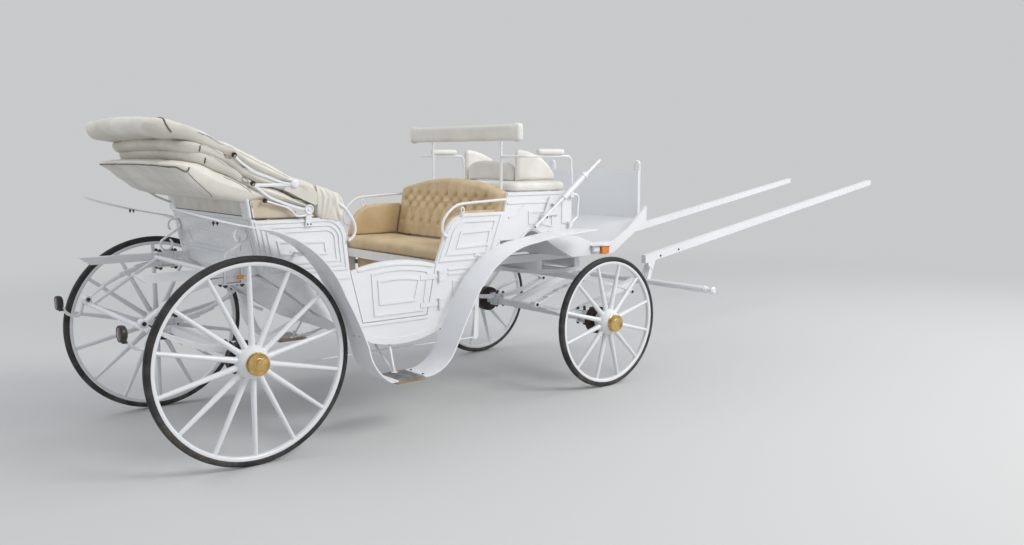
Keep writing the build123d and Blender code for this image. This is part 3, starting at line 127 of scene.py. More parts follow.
ground.links.new(blend.outputs[0], ground.nodes["Material Output"].inputs[0])
floor_mesh.materials.append(floor_paint)

world = bpy.data.worlds.new("world")
scene.world = world
world.use_nodes = True
sky = world.node_tree
sky.nodes["Background"].inputs["Strength"].default_value = 0.62
sky.nodes["Background"].inputs["Color"].default_value = (0.92, 0.95, 1.0, 1)
seen = node(sky, "ShaderNodeBackground", Color=BACKDROP, Strength=1.0)
choice = wired(sky, "ShaderNodeMixShader", seen_directly(sky), sky.nodes["Background"].outputs[0],
               seen.outputs[0])
sky.links.new(choice.outputs[0], sky.nodes["World Output"].inputs[0])


def lamp(name, place, target, size, power, color):
    """A square soft light that faces the target."""
    data = bpy.data.lights.new(name, "AREA")
    data.size = size
    data.energy = power
    data.color = color
    made = bpy.data.objects.new(name, data)
    made.location = place
    made.rotation_euler = (Vector(target) - Vector(place)).to_track_quat("-Z", "Y").to_euler()
    scene.collection.objects.link(made)


lamp("key", (1.5, -8.0, 7.5), (-0.8, 0, 0.8), 4.0, 600, (1.0, 0.985, 0.96))
lamp("front", (8.0, -3.0, 6.0), (0.5, 0, 0.8), 5.0, 260, (0.96, 0.98, 1.0))
lamp("back", (-7.5, 3.5, 6.5), (-1.5, 0, 1.0), 6.0, 200, (0.95, 0.97, 1.0))


# ---------------------------------------------------------------- materials

DUST = (0.20, 0.17, 0.14, 1)


def make_material(name, dark, light, scale=3.0, rough=(0.3, 0.45), grain="noise", grain_scale=300.0,
                  grain_strength=0.1, grain_depth=0.0004, metallic=0.0, coat=0.0, sheen=0.0, dust=0.0,
                  stretch=(1, 1, 1), detail=6.0):
    """Colour between two shades, uneven roughness and a fine relief, all in the piece's own space."""
    made = bpy.data.materials.new(name)
    made.use_nodes = True
    tree = made.node_tree
    link = tree.links.new
    shader = tree.nodes["Principled BSDF"]
    for socket, value in (("Metallic", metallic), ("Coat Weight", coat), ("Coat Roughness", 0.12),
                          ("Sheen Weight", sheen), ("Sheen Roughness", 0.5)):
        shader.inputs[socket].default_value = value
    place = node(tree, "ShaderNodeTexCoord").outputs["Object"]
    mapped = wired(tree, "ShaderNodeMapping", place, Scale=stretch).outputs[0]
    clouds = wired(tree, "ShaderNodeTexNoise", mapped, Scale=scale, Detail=detail, Roughness=0.55)
    ramp = wired(tree, "ShaderNodeValToRGB", clouds.outputs["Fac"])
    for element, position, shade in zip(ramp.color_ramp.elements, (0.36, 0.62), (dark, light)):
        element.position = position
        element.color = (*shade, 1)
    colour = ramp.outputs["Color"]
    if dust:
        height = wired(tree, "ShaderNodeSeparateXYZ", place).outputs["Z"]
        low = wired(tree, "ShaderNodeMapRange", height, From_Min=0.05, From_Max=1.0, To_Min=dust,
                    To_Max=dust * 0.12)
        specks = wired(tree, "ShaderNodeTexNoise", place, Scale=detail * 1.5, Detail=detail, Roughness=0.6)
        spots = wired(tree, "ShaderNodeMapRange", specks.outputs["Fac"], From_Min=0.42, From_Max=0.72)
        amount = wired(tree, "ShaderNodeMath", low.outputs[0], spots.outputs[0], operation="MULTIPLY")
        soil = wired(tree, "ShaderNodeMix", amount.outputs[0], data_type="RGBA")
        link(colour, soil.inputs[6])
        soil.inputs[7].default_value = DUST
        colour = soil.outputs[2]
    link(colour, shader.inputs["Base Color"])
    patches = wired(tree, "ShaderNodeTexNoise", mapped, Scale=scale * 0.8 * detail, Detail=detail * 0.6,
                    Roughness=0.5)
    gloss = wired(tree, "ShaderNodeMapRange", patches.outputs["Fac"], From_Min=0.3, From_Max=0.7,
                  To_Min=rough[0], To_Max=rough[1])
    link(gloss.outputs[0], shader.inputs["Roughness"])
    if not grain_strength:
        return made
    if grain == "leather":
        cells = wired(tree, "ShaderNodeTexVoronoi", mapped, feature="SMOOTH_F1", Scale=grain_scale)
    elif grain == "weave":
        cells = wired(tree, "ShaderNodeTexWave", mapped, wave_type="BANDS", bands_direction="DIAGONAL",
                      Scale=grain_scale, Distortion=1.5)
    else:
        cells = wired(tree, "ShaderNodeTexNoise", mapped, Scale=grain_scale, Detail=3.0)
    bump = node(tree, "ShaderNodeBump", Strength=grain_strength, Distance=grain_depth)
    link(cells.outputs["Distance" if grain == "leather" else "Fac"], bump.inputs["Height"])
    link(bump.outputs[0], shader.inputs["Normal"])
    return made


ENAMEL = {"scale": 1.6, "grain_strength": 0, "coat": 0.15, "detail": 1.0}
HIDE = {"grain": "leather", "grain_scale": 420, "grain_depth": 0.0006, "sheen": 0.05}
METAL = {"scale": 18, "metallic": 1.0, "grain_scale": 260}
WHITE = make_material("white_enamel", (0.755, 0.765, 0.785), (0.785, 0.795, 0.81), rough=(0.27, 0.32),
                      dust=0.03, **ENAMEL)
BODY = make_material("white_panel_enamel", (0.77, 0.78, 0.795), (0.795, 0.803, 0.815), rough=(0.26, 0.30),
                     dust=0.02, **ENAMEL)
BLACK = make_material("black_enamel", (0.012, 0.012, 0.013), (0.035, 0.033, 0.032), rough=(0.35, 0.6), scale=12,
                      grain_scale=220, grain_strength=0.25, dust=0.25)
RUBBER = make_material("tyre_rubber", (0.012, 0.012, 0.013), (0.030, 0.030, 0.031), rough=(0.6, 0.85), scale=14,
                       grain_scale=420, grain_strength=0.35, grain_depth=0.0006, dust=0.45)
BRASS = make_material("brass", (0.50, 0.33, 0.11), (0.72, 0.52, 0.22), rough=(0.2, 0.42), grain_strength=0.15,
                      **METAL)
CHROME = make_material("bright_metal", (0.42, 0.42, 0.43), (0.66, 0.66, 0.67), rough=(0.14, 0.3), **METAL)
TAN = make_material("tan_leather", (0.54, 0.405, 0.225), (0.64, 0.50, 0.30), scale=7, rough=(0.34, 0.52),
                    grain_strength=0.3, **HIDE)
IVORY = make_material("white_leather", (0.68, 0.66, 0.61), (0.76, 0.745, 0.70), scale=6, rough=(0.34, 0.5),
                      grain_strength=0.28, **HIDE)
CLOTH = make_material("hood_leathercloth", (0.64, 0.61, 0.54), (0.77, 0.74, 0.67), scale=4, rough=(0.45, 0.68),
                      grain="leather", grain_scale=300, grain_strength=0.35, grain_depth=0.0007, sheen=0.12)
# dark cords: real piping on the bow, seams and valance, and painted shadow as the hood's straps and the
# opening's edge
PIPING_AND_SHADE = make_material("dark_piping_and_painted_shade", (0.09, 0.08, 0.065), (0.16, 0.14, 0.11), scale=20, rough=(0.5, 0.7))
WOOD = make_material("step_wood", (0.22, 0.14, 0.07), (0.42, 0.29, 0.16), scale=5, rough=(0.5, 0.7),
                     grain_scale=120, grain_strength=0.4, stretch=(1, 6, 6))
TREAD = make_material("step_tread", (0.20, 0.20, 0.205), (0.34, 0.34, 0.345), scale=20, rough=(0.35, 0.5),
                      metallic=0.8, grain_scale=200, grain_strength=0.4, dust=0.3)
RUST = make_material("rusty_bolt", (0.035, 0.024, 0.018), (0.13, 0.075, 0.045), scale=60, rough=(0.5, 0.75),
                     metallic=0.6, grain_scale=300, grain_strength=0.3)
GLASS = make_material("dark_lens", (0.05, 0.006, 0.006), (0.10, 0.012, 0.01), scale=20, rough=(0.08, 0.16),
                      grain_strength=0, coat=0.6)
LINING = make_material("tan_lining", (0.56, 0.47, 0.34), (0.66, 0.57, 0.43), scale=6, rough=(0.45, 0.6),
                       grain="weave", grain_scale=90, grain_strength=0.2, grain_depth=0.0005)
DRUM = make_material("iron_drum", (0.022, 0.013, 0.012), (0.055, 0.03, 0.027), scale=14, rough=(0.45, 0.65),
                     metallic=0.4, grain_scale=200, grain_strength=0.25, dust=0.2)
ORANGE = make_material("orange_lens", (0.75, 0.16, 0.01), (0.95, 0.28, 0.02), scale=30, rough=(0.12, 0.25),
                       coat=0.5)

SLOT_FINISH = {
    "tyre": RUBBER, "white_paint": WHITE, "white_panel": BODY, "shaft_wood": WHITE, "brass": BRASS,
    "black_paint": BLACK, "tan_leather": TAN, "white_leather": IVORY, "hood_cloth": CLOTH, "step_tread": TREAD,
}
# each CAD piece takes the finish that stands for its slot in model.json; the clamps and brake drums then take
# another
for row in frame["record"]["subparts"]:
    painted = frame["nodes"][row["node"]].data.materials
    painted.clear()
    painted.append(SLOT_FINISH[row["material_slot"]])
for word, finish in (("spring_clamps_rear", WHITE), ("spring_clamps_front", WHITE), ("brake_drums_rear", DRUM),
                     ("brake_drums_front", DRUM)):
    frame["nodes"][word].data.materials[0] = finish


# ---------------------------------------------------------------- mesh helpers

SIDES = ((-1, "right"), (1, "left"))
UP = (0, 0, 1)


def joined_mesh(name, shape):
    """A mesh from (points, faces), with double points joined and all faces looking out."""
    verts, faces = shape
    mesh = bpy.data.meshes.new(name)
    mesh.from_pydata([tuple(v) for v in verts], [], faces)
    work = bmesh.new()
    work.from_mesh(mesh)
    bmesh.ops.remove_doubles(work, verts=work.verts, dist=1e-6)
    bmesh.ops.recalc_face_normals(work, faces=work.faces)
    work.to_mesh(mesh)
    work.free()
    return mesh


def build(name, shape, finish, body="carriage", sharp=35, replaces=()):
    """A mesh piece from (points, faces), shaded smooth up to a given edge angle."""
    return dress(name, joined_mesh(name, shape), finish, body, sharp, replaces)


def dress(name, mesh, finish, body, sharp, replaces):
    """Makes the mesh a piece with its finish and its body."""
    mesh.materials.clear()
    mesh.materials.append(finish)
    mesh.polygons.foreach_set("use_smooth", [True] * len(mesh.polygons))
    mesh.set_sharp_from_angle(angle=math.radians(sharp))
    obj = bpy.data.objects.new(name, mesh)
    scene.collection.objects.link(obj)
    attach(obj, body)
    if replaces:
        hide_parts(*replaces)
    return obj


def skin(rings, closed=True, caps=True, base=0):
    """Faces over equal rings of points; each ring is closed round itself when closed is set."""
    verts = [v for ring in rings for v in ring]
    count = len(rings[0])
    faces = []
    steps = count if closed else count - 1
    for row in range(len(rings) - 1):
        for i in range(steps):
            j = (i + 1) % count
            a, b = base + row * count, base + (row + 1) * count
            faces.append((a + i, a + j, b + j, b + i))
    if caps and closed:
        faces.append(tuple(base + i for i in range(count)))
        last = base + (len(rings) - 1) * count
        faces.append(tuple(last + i for i in reversed(range(count))))
    return verts, faces


def gather(parts):
    """One list of points and faces from several."""
    verts, faces = [], []
    for part_verts, part_faces in parts:
        shift = len(verts)
        verts += part_verts
        faces += [tuple(i + shift for i in face) for face in part_faces]
    return verts, faces


def turned(profile, centre, axis, segments=48, loop=False):
    """A shape turned about an axis from (radius, along) points in millimetres."""
    axis = Vector(axis).normalized()
    side = axis.orthogonal().normalized()
    other = axis.cross(side)
    rings = []
    points = profile + [profile[0]] if loop else profile
    for radius, along in points:
        ring = []
        for i in range(segments):
            angle = math.tau * i / segments
            out = side * math.cos(angle) + other * math.sin(angle)
            ring.append(centre + axis * (along / 1000) + out * (max(radius, 0.01) / 1000))
        rings.append(ring)
    return skin(rings, caps=not loop)


def curve_through(points, steps=6, loop=False):
    """Points on a smooth line through the given ones."""
    count = len(points)
    made = []
    spans = count if loop else count - 1
    for i in range(spans):
        if loop:
            p = [points[(i + k) % count] for k in (-1, 0, 1, 2)]
        else:
            p = [points[max(0, min(count - 1, i + k))] for k in (-1, 0, 1, 2)]
        for s in range(steps):
            t = s / steps
            made.append(
                0.5 * ((2 * p[1]) + (p[2] - p[0]) * t + (2 * p[0] - 5 * p[1] + 4 * p[2] - p[3]) * t * t
                       + (3 * p[1] - p[0] - 3 * p[2] + p[3]) * t * t * t)
            )
    if not loop:
        made.append(points[-1].copy())
    return made


def bent(points, radius, steps=6):
    """A run of straight lines with each corner rounded."""
    made = [points[0].copy()]
    for before, corner, after in zip(points, points[1:], points[2:]):
        back = before - corner
        on = after - corner
        reach = min(radius / 1000, back.length * 0.48, on.length * 0.48)
        start = corner + back.normalized() * reach
        end = corner + on.normalized() * reach
        for s in range(steps + 1):
            t = s / steps
            made.append(start * (1 - t) ** 2 + corner * 2 * t * (1 - t) + end * t * t)
    made.append(points[-1].copy())
    return made


def pipe(points, radius, segments=12, loop=False, flat=1.0, rounded=True):
    """A round bar along a line; radius in millimetres, one or one for each point. Ends are domed."""
    count = len(points)
    radii = [radius] * count if not hasattr(radius, "__len__") else list(radius)
    tangents = []
    for i in range(count):
        a = points[i - 1] if (i or loop) else points[i]
        b = points[(i + 1) % count] if (i < count - 1 or loop) else points[i]
        tangents.append((b - a).normalized())
    normal = tangents[0].orthogonal().normalized()
    rings = []
    for i in range(count):
        normal = (normal - tangents[i] * normal.dot(tangents[i])).normalized()
        other = tangents[i].cross(normal)
        ring = []
        for k in range(segments):
            angle = math.tau * k / segments
            out = normal * math.cos(angle) + other * math.sin(angle) * flat
            ring.append(points[i] + out * (radii[i] / 1000))
        rings.append(ring)
    if loop:
        rings.append(rings[0])
        return skin(rings, caps=False)
    if rounded:
        for end, way in ((0, -1), (-1, 1)):
            edge = rings[end]
            centre = points[end]
            tip = tangents[end] * way * (radii[end] / 1000) * 0.5
            ring = [centre + (p - centre) * 0.72 + tip * 0.75 for p in edge]
            last = [centre + (p - centre) * 0.15 + tip for p in edge]
            rings = [last, ring] + rings if end == 0 else rings + [ring, last]
    return skin(rings)


def slab(outline, lift, thickness, bevel=2.0):
    """A flat plate with chamfered edges; lift(u, v, h) gives the point, outline is (u, v) in millimetres."""
    return skin(layered(outline, ((bevel, 0), (0, bevel), (0, thickness - bevel), (bevel, thickness)), lift))


def offset_outline(outline, inset):
    """The closed outline moved inward by inset, with mitred corners."""
    count = len(outline)
    area = sum(
        outline[i][0] * outline[(i + 1) % count][1] - outline[(i + 1) % count][0] * outline[i][1]
        for i in range(count)
    )
    hand = 1 if area > 0 else -1
    made = []
    for i in range(count):
        before, here, after = (Vector(outline[(i + k) % count]) for k in (-1, 0, 1))
        d1 = (here - before).normalized()
        d2 = (after - here).normalized()
        n1 = Vector((-d1.y, d1.x)) * hand
        n2 = Vector((-d2.y, d2.x)) * hand
        mitre = (n1 + n2) / max(0.35, 1 + n1.dot(n2))
        made.append(tuple(here + mitre * inset))
    return made


def ruffle(obj, amount, scale, stretch=(1, 1, 1)):
    """Moves the points in and out along their normals by smooth noise; amount in millimetres."""
    mesh = obj.data
    normals = [v.normal.copy() for v in mesh.vertices]
    for vertex, normal in zip(mesh.vertices, normals):
        spot = Vector((vertex.co.x * stretch[0], vertex.co.y * stretch[1], vertex.co.z * stretch[2])) * scale
        vertex.co += normal * noise.noise(spot) * amount / 1000
    mesh.update()
    return obj


CLOTH_FRAMES = 16


def puff(name, shape, finish, replaces=(), voxel=0.009, pressure=2.0, cap=0.005):
    """A padded piece: the closed form is remeshed, blown up as cloth and its swelling is capped."""
    obj = bpy.data.objects.new(name, joined_mesh(name, shape))
    scene.collection.objects.link(obj)
    remesh = obj.modifiers.new("remesh", "REMESH")
    remesh.mode = "VOXEL"
    remesh.voxel_size = voxel
    bpy.context.view_layer.update()
    graph = bpy.context.evaluated_depsgraph_get()
    fine = bpy.data.meshes.new_from_object(obj.evaluated_get(graph))
    obj.modifiers.clear()
    obj.data = fine
    rest = [v.co.copy() for v in fine.vertices]
    cloth = obj.modifiers.new("cloth", "CLOTH")
    settings = cloth.settings
    settings.quality = 5
    settings.use_pressure = True
    settings.uniform_pressure_force = pressure
    settings.tension_stiffness = 8
    settings.bending_stiffness = 0.4
    settings.effector_weights.gravity = 0
    cloth.collision_settings.use_collision = False
    for number in range(1, CLOTH_FRAMES + 1):
        scene.frame_set(number)
    graph = bpy.context.evaluated_depsgraph_get()
    swollen = bpy.data.meshes.new_from_object(obj.evaluated_get(graph))
    moved = [v.co.copy() for v in swollen.vertices]
    obj.modifiers.clear()
    scene.frame_set(1)
    for vertex, start, end in zip(fine.vertices, rest, moved):
        step = end - start
        if step.length > cap:
            step *= cap / step.length
        vertex.co = start + step
    bpy.data.meshes.remove(swollen)
    fine.update()
    rounder = obj.modifiers.new("rounder", "SUBSURF")
    rounder.levels = 1
    rounder.render_levels = 1
    graph = bpy.context.evaluated_depsgraph_get()
    final = bpy.data.meshes.new_from_object(obj.evaluated_get(graph))
    obj.modifiers.clear()
    bpy.data.objects.remove(obj)
    return dress(name, final, finish, "carriage", 60, replaces)


def squarish(count, u_half, v_half, u_power, v_power=None, offset=0.5):
    """Points (u, v) round a rounded rectangle, squarer for a smaller power."""
    made = []
    for i in range(count):
        angle = math.tau * (i + offset) / count
        c, s = math.cos(angle), math.sin(angle)
        made.append((math.copysign(abs(c) ** u_power, c) * u_half,
                     math.copysign(abs(s) ** (v_power or u_power), s) * v_half))
    return made


def on_side(hand, y, way=1):
    """Lifts (x, z) points onto a side plane at y from the middle, outward, or inward for way -1."""
    return lambda u, v, h: at(u, hand * (y + way * h), v)


def on_top(hand, z):
    """Lifts (x, distance from the middle) points onto a level plane at z, upward."""
    return lambda u, v, h: at(u, hand * v, z + h)


def layered(outline, steps, lift):
    """Rings over a plane for each (inset, height): a plate or pad with a shaped edge."""
    return [[lift(u, v, height) for u, v in (offset_outline(outline, inset) if inset else outline)]
            for inset, height in steps]


def soft_block(low, high, round_off):
    """A closed block with rounded edges between two corners in millimetres."""
    low, high = Vector(low), Vector(high)
    middle = (low + high) / 2
    half = (high - low) / 2
    rings = []
    for lift, shrink in ((-1, 1), (-0.75, 0.25), (-0.4, 0), (0.4, 0), (0.75, 0.25), (1, 1)):
        plan = squarish(40, half.x - round_off * shrink, half.y - round_off * shrink, 0.22)
        rings.append([at(middle.x + u, middle.y + v, middle.z + half.z * lift) for u, v in plan])
    return skin(rings)


# ---------------------------------------------------------------- wheels

TRACK_HALF = 735
TYRE_DEPTH = 32


def wheel_set(place, centre_x, hand, radius, spokes):
    """Tyre, felloe with tapered spokes and turned hub, and the stepped brass cap."""
    body = f"wheel_{place}_set"
    centre = at(centre_x, hand * TRACK_HALF, radius)
    axis = (0, hand, 0)
    rim = radius - TYRE_DEPTH
    flank = [(rim, 17), (rim + 6, 20), (radius - 14, 20), (radius - 5, 17), (radius - 1.2, 11), (radius, 4)]
    tread = [(r, -a) for r, a in flank] + flank[::-1]
    build(f"rubber_{place}", turned(tread, centre, axis, 120, loop=True), RUBBER, body, 40, (f"tyre_{place}",))

    inner = [(rim, 17), (rim - 3, 18), (rim - 15, 16.5), (rim - 20, 12)]
    felloe = [(r, -a) for r, a in inner] + [(rim - 21, 0)] + inner[::-1]
    parts = [turned(felloe, centre, axis, 120, loop=True)]
    out = Vector(axis)
    for i in range(spokes):
        angle = math.tau * (i + 0.5) / spokes
        along = Vector((math.cos(angle), 0, math.sin(angle)))
        lateral = out.cross(along)
        rings = []
        for reach, wide, deep in ((40, 19, 22), (78, 19, 22), (96, 17.5, 20), (130, 16, 18.5),
                                  (rim - 120, 12, 14.5), (rim - 40, 11, 13), (rim - 16, 11, 13)):
            rings.append([centre + along * (reach / 1000) + lateral * (u / 1000) + out * (v / 1000)
                          for u, v in squarish(12, wide, deep, 1, offset=0)])
        parts.append(skin(rings))
    hub = [(28, -70), (62, -70), (66, -66), (66, -52), (76, -44), (86, -26), (91, -8), (92, 0), (91, 10),
           (86, 26), (77, 40), (68, 50), (64, 54), (62, 58), (28, 58)]
    parts.append(turned(hub, centre, axis, 64))
    build(f"spoked_{place}", gather(parts), WHITE, body, 38, (f"wheel_{place}",))

    cap = [(20, 58.3), (60, 58.3), (60, 63), (57.5, 65), (54, 65.5), (53, 68), (53, 80), (54.5, 82), (58, 83),
           (58, 88), (56, 90.5), (48, 91), (46, 88), (34, 87.5), (31, 89), (30, 90.5), (20, 91), (16, 91.2),
           (15, 91.8), (12, 91.8), (5, 91.8), (0, 91.8)]
    build(f"brass_{place}", turned(cap, centre, axis, 48), BRASS, body, 30, (f"hub_cap_{place}",))


FRONT_X = 2600
for end, centre_x, radius, spokes in (("rear", 0, 550, 14), ("front", FRONT_X, 455, 12)):
    for hand, word in SIDES:
        wheel_set(f"{end}_{word}", centre_x, hand, radius, spokes)


# ---------------------------------------------------------------- folded hood

def smooth_table(table):
    """A smooth function through (x, value) rows, held at its ends."""
    rows = sorted(table)

    def value(x):
        if x <= rows[0][0]:
            return rows[0][1]
        if x >= rows[-1][0]:
            return rows[-1][1]
        for (x0, v0), (x1, v1) in zip(rows, rows[1:]):
            if x <= x1:
                t = (x - x0) / (x1 - x0)
                t = t * t * (3 - 2 * t) * 0.35 + t * 0.65
                return v0 + (v1 - v0) * t
    return value


HOOD_HALF = 602
HOOD_ARM_INNER = 532
HOOD_FRONT = 96
HOOD_ROWS = 72


def ease(t):
    """A smooth step from 0 to 1."""
    t = max(0.0, min(1.0, t))
    return t * t * (3 - 2 * t)


def spread(low, high, count):
    """Even places from low up to, but not with, high."""
    return [low + (high - low) * k / count for k in range(count)]


def hood_layer(name, high_line, low_line, corner, tail_round, nose_round, crown, wrinkle, replaces=(), edge=60):
    """One folded layer: a closed quilt over the back that runs on along both sides as an arm, in one piece."""
    tail, nose = high_line[0][0], high_line[-1][0]
    top, bottom = smooth_table(high_line), smooth_table(low_line)
    outer = [HOOD_HALF - edge * (1 - math.cos(a)) for a in spread(0, math.pi / 2, 8)]
    right = outer + spread(HOOD_HALF - edge, HOOD_ARM_INNER - 80, 16) + spread(HOOD_ARM_INNER - 80, 0, 16)
    places = [-y for y in right] + [0] + right[::-1]
    rings = []
    for y in places:
        side_y = abs(y)
        over = max(0.0, side_y - (HOOD_HALF - corner))
        shift = corner - math.sqrt(max(0.0, corner * corner - over * over))
        past = max(0.0, (side_y - (HOOD_HALF - edge)) / edge)
        thin = max(0.14, math.sqrt(max(0.0, 1 - past * past)))
        arm = ease((side_y - (HOOD_ARM_INNER - 80)) / 80)
        end = HOOD_FRONT + (nose - HOOD_FRONT) * arm - 26 * (1 - thin)
        upper, lower = [], []
        for i in range(HOOD_ROWS + 1):
            f = (1 - math.cos(i / HOOD_ROWS * math.pi)) / 2
            plain = end + (tail - end) * f
            behind = max(0.0, min(1.0, (HOOD_FRONT - plain) / (HOOD_FRONT - tail)))
            plump = 1.0
            for near in ((plain - tail) / tail_round, (end - plain) / nose_round):
                if near < 1:
                    plump *= math.sqrt(max(0.0, 1 - (1 - near) ** 2))
            high, low = top(plain), bottom(plain)
            middle = (high + low) / 2 + crown * (1 - (y / HOOD_HALF) ** 2) * behind
            thick = (high - low) / 2 * plump * thin
            upper.append(at(plain + shift * behind, y, middle + thick))
            lower.append(at(plain + shift * behind, y, middle - thick))
        rings.append(upper + lower[::-1])
    obj = build(name, skin(rings), CLOTH, sharp=70, replaces=replaces)
    ruffle(obj, wrinkle, 5.0, (0.7, 1.6, 1.6))
    ruffle(obj, wrinkle * 0.55, 13.0, (0.6, 1.6, 1.8))
    ruffle(obj, wrinkle * 0.22, 34.0, (0.6, 1.4, 1.6))
    return obj


hood_top = hood_layer(
    "hood_roll_top",
    [(-424, 1800), (-382, 1788), (-204, 1738), (-75, 1687), (96, 1610), (159, 1582), (367, 1482),
     (500, 1428), (588, 1398), (634, 1378)],
    [(-424, 1700), (-382, 1694), (-280, 1682), (-189, 1650), (-39, 1600), (56, 1545), (160, 1502),
     (259, 1462), (357, 1424), (430, 1350), (466, 1296), (500, 1262), (634, 1252)],
    corner=150, tail_round=58, nose_round=56, crown=22, wrinkle=7, replaces=("hood",))
hood_second = hood_layer(
    "hood_roll_second",
    [(-276, 1686), (-190, 1662), (-39, 1608), (56, 1548), (160, 1504), (259, 1466), (357, 1428), (440, 1390)],
    [(-276, 1626), (-190, 1606), (-42, 1553), (54, 1492), (150, 1452), (264, 1424), (360, 1372), (440, 1340)],
    corner=120, tail_round=34, nose_round=60, crown=16, wrinkle=5, edge=52)
hood_third = hood_layer(
    "hood_roll_third",
    [(-240, 1632), (-190, 1614), (-42, 1558), (54, 1496), (150, 1450), (264, 1412), (360, 1366), (452, 1330)],
    [(-240, 1578), (-190, 1560), (-82, 1514), (53, 1455), (112, 1420), (180, 1388), (252, 1358), (376, 1318),
     (452, 1290)],
    corner=120, tail_round=28, nose_round=50, crown=14, wrinkle=4, edge=46)
hood_curtain = hood_layer(
    "hood_quarter",
    [(-344, 1566), (-270, 1576), (-190, 1566), (-82, 1520), (53, 1462), (112, 1428), (178, 1396), (300, 1346)],
    [(-344, 1550), (-300, 1522), (-230, 1464), (-150, 1408), (-90, 1386), (-20, 1372), (60, 1362), (142, 1378),
     (214, 1352), (300, 1326)],
    corner=70, tail_round=16, nose_round=40, crown=12, wrinkle=3.5, edge=38)


def settle(points, target, lift=0.0):
    """The points moved onto the target's surface, lift millimetres outward."""
    made = []
    for point in points:
        place, normal = target.closest_point_on_mesh(point)[1:3]
        made.append(place + normal * lift / 1000)
    return made


def seam(name, target, points, radius=2.6, finish=PIPING_AND_SHADE, lift=0.6, steps=10):
    """A thin cord sewn onto a soft piece, on both sides of the carriage."""
    parts = []
    for hand in (-1, 1):
        line = curve_through([at(x, hand * y, z) for x, y, z in points], steps)
        parts.append(pipe(settle(line, target, lift), radius, 8))
    return build(name, gather(parts), finish, sharp=60)


# the bow's dark piping, the straps over the rolls, which are dark cords that paint the shadow where the bow's
# end pieces meet, and the seam between the curtain and the quarter
BOW_CORNER = 70
HOOD_SIDE = HOOD_HALF + 2
bow = []
for j in range(-40, 41):
    y = (HOOD_HALF - 3) * j / 40
    over = max(0.0, abs(y) - (HOOD_HALF - BOW_CORNER))
    shift = BOW_CORNER - math.sqrt(max(0.0, BOW_CORNER * BOW_CORNER - over * over))
    bow.append(at(-346 + shift, y, 1546))
bow = [at(-232, -603, 1546), at(-250, -603, 1524), *settle(bow, hood_curtain, 1.0), at(-250, 603, 1524),
       at(-232, 603, 1546)]
build("hood_welt", pipe(curve_through(bow, 3), 3.6, 8), PIPING_AND_SHADE)
# painted shadow: the three dark straps stand for the shade where the bow's end pieces meet on the rolls
seam("hood_shade_strap_top", hood_top, [(-345, 520, 1800), (-339, 560, 1790), (-334, HOOD_SIDE, 1748),
                                  (-314, HOOD_SIDE, 1712)], 4.0)
seam("hood_shade_strap_second", hood_second, [(-172, HOOD_SIDE, 1652), (-175, 606, 1632), (-177, HOOD_SIDE, 1612)],
     3.4)
seam("hood_shade_strap_third", hood_third, [(-149, HOOD_SIDE, 1590), (-153, 606, 1566), (-157, HOOD_SIDE, 1542)], 3.4)
seam("hood_seam_quarter", hood_curtain, [(-242, HOOD_SIDE, 1519), (-193, 600, 1467), (-131, 590, 1408),
                                         (-112, 560, 1392)], 1.4)
seam("hood_seam_bulge", hood_curtain, [(-53, 606, 1505), (7, 606, 1488), (60, 606, 1440), (86, 606, 1416)], 1.2)
seam("hood_seam_roof", hood_top, [(-182, HOOD_SIDE, 1716), (-73, HOOD_SIDE, 1680), (26, HOOD_SIDE, 1628),
                                  (150, HOOD_SIDE, 1566), (300, HOOD_SIDE, 1492)], 0.9)

# cord loops near the bolts
for label, target, x, z in (("upper", hood_second, -34, 1606), ("lower", hood_third, 52, 1474)):
    loop = [(x + dx, HOOD_SIDE, z + dz) for dx, dz in ((-14, 18), (12, 12), (16, -16), (-12, -10), (-14, 18))]
    seam(f"hood_patch_{label}", target, loop, 1.5)


def on_back(u, v, h):
    """Lifts (y, z) points onto the back panel's outer face, outward."""
    return at(72 + 0.196 * (1330 - v) - h, u, v)


# the valance between the curtain and the back panel's top, with its dark piping
arched = [(y, 1352 + 46 * math.sqrt(max(0.0, 1 - (y / 640) ** 2))) for y in range(-496, 497, 62)]
valance = [(496, 1287), *arched[::-1], (-496, 1287)]
build("hood_valance", slab(valance[::-1], on_back, 6, 2.0), CLOTH, sharp=40)
build("hood_valance_piping", pipe([on_back(y, 1286, 5) for y in (-496, -200, 200, 496)], 3.0, 8), PIPING_AND_SHADE)

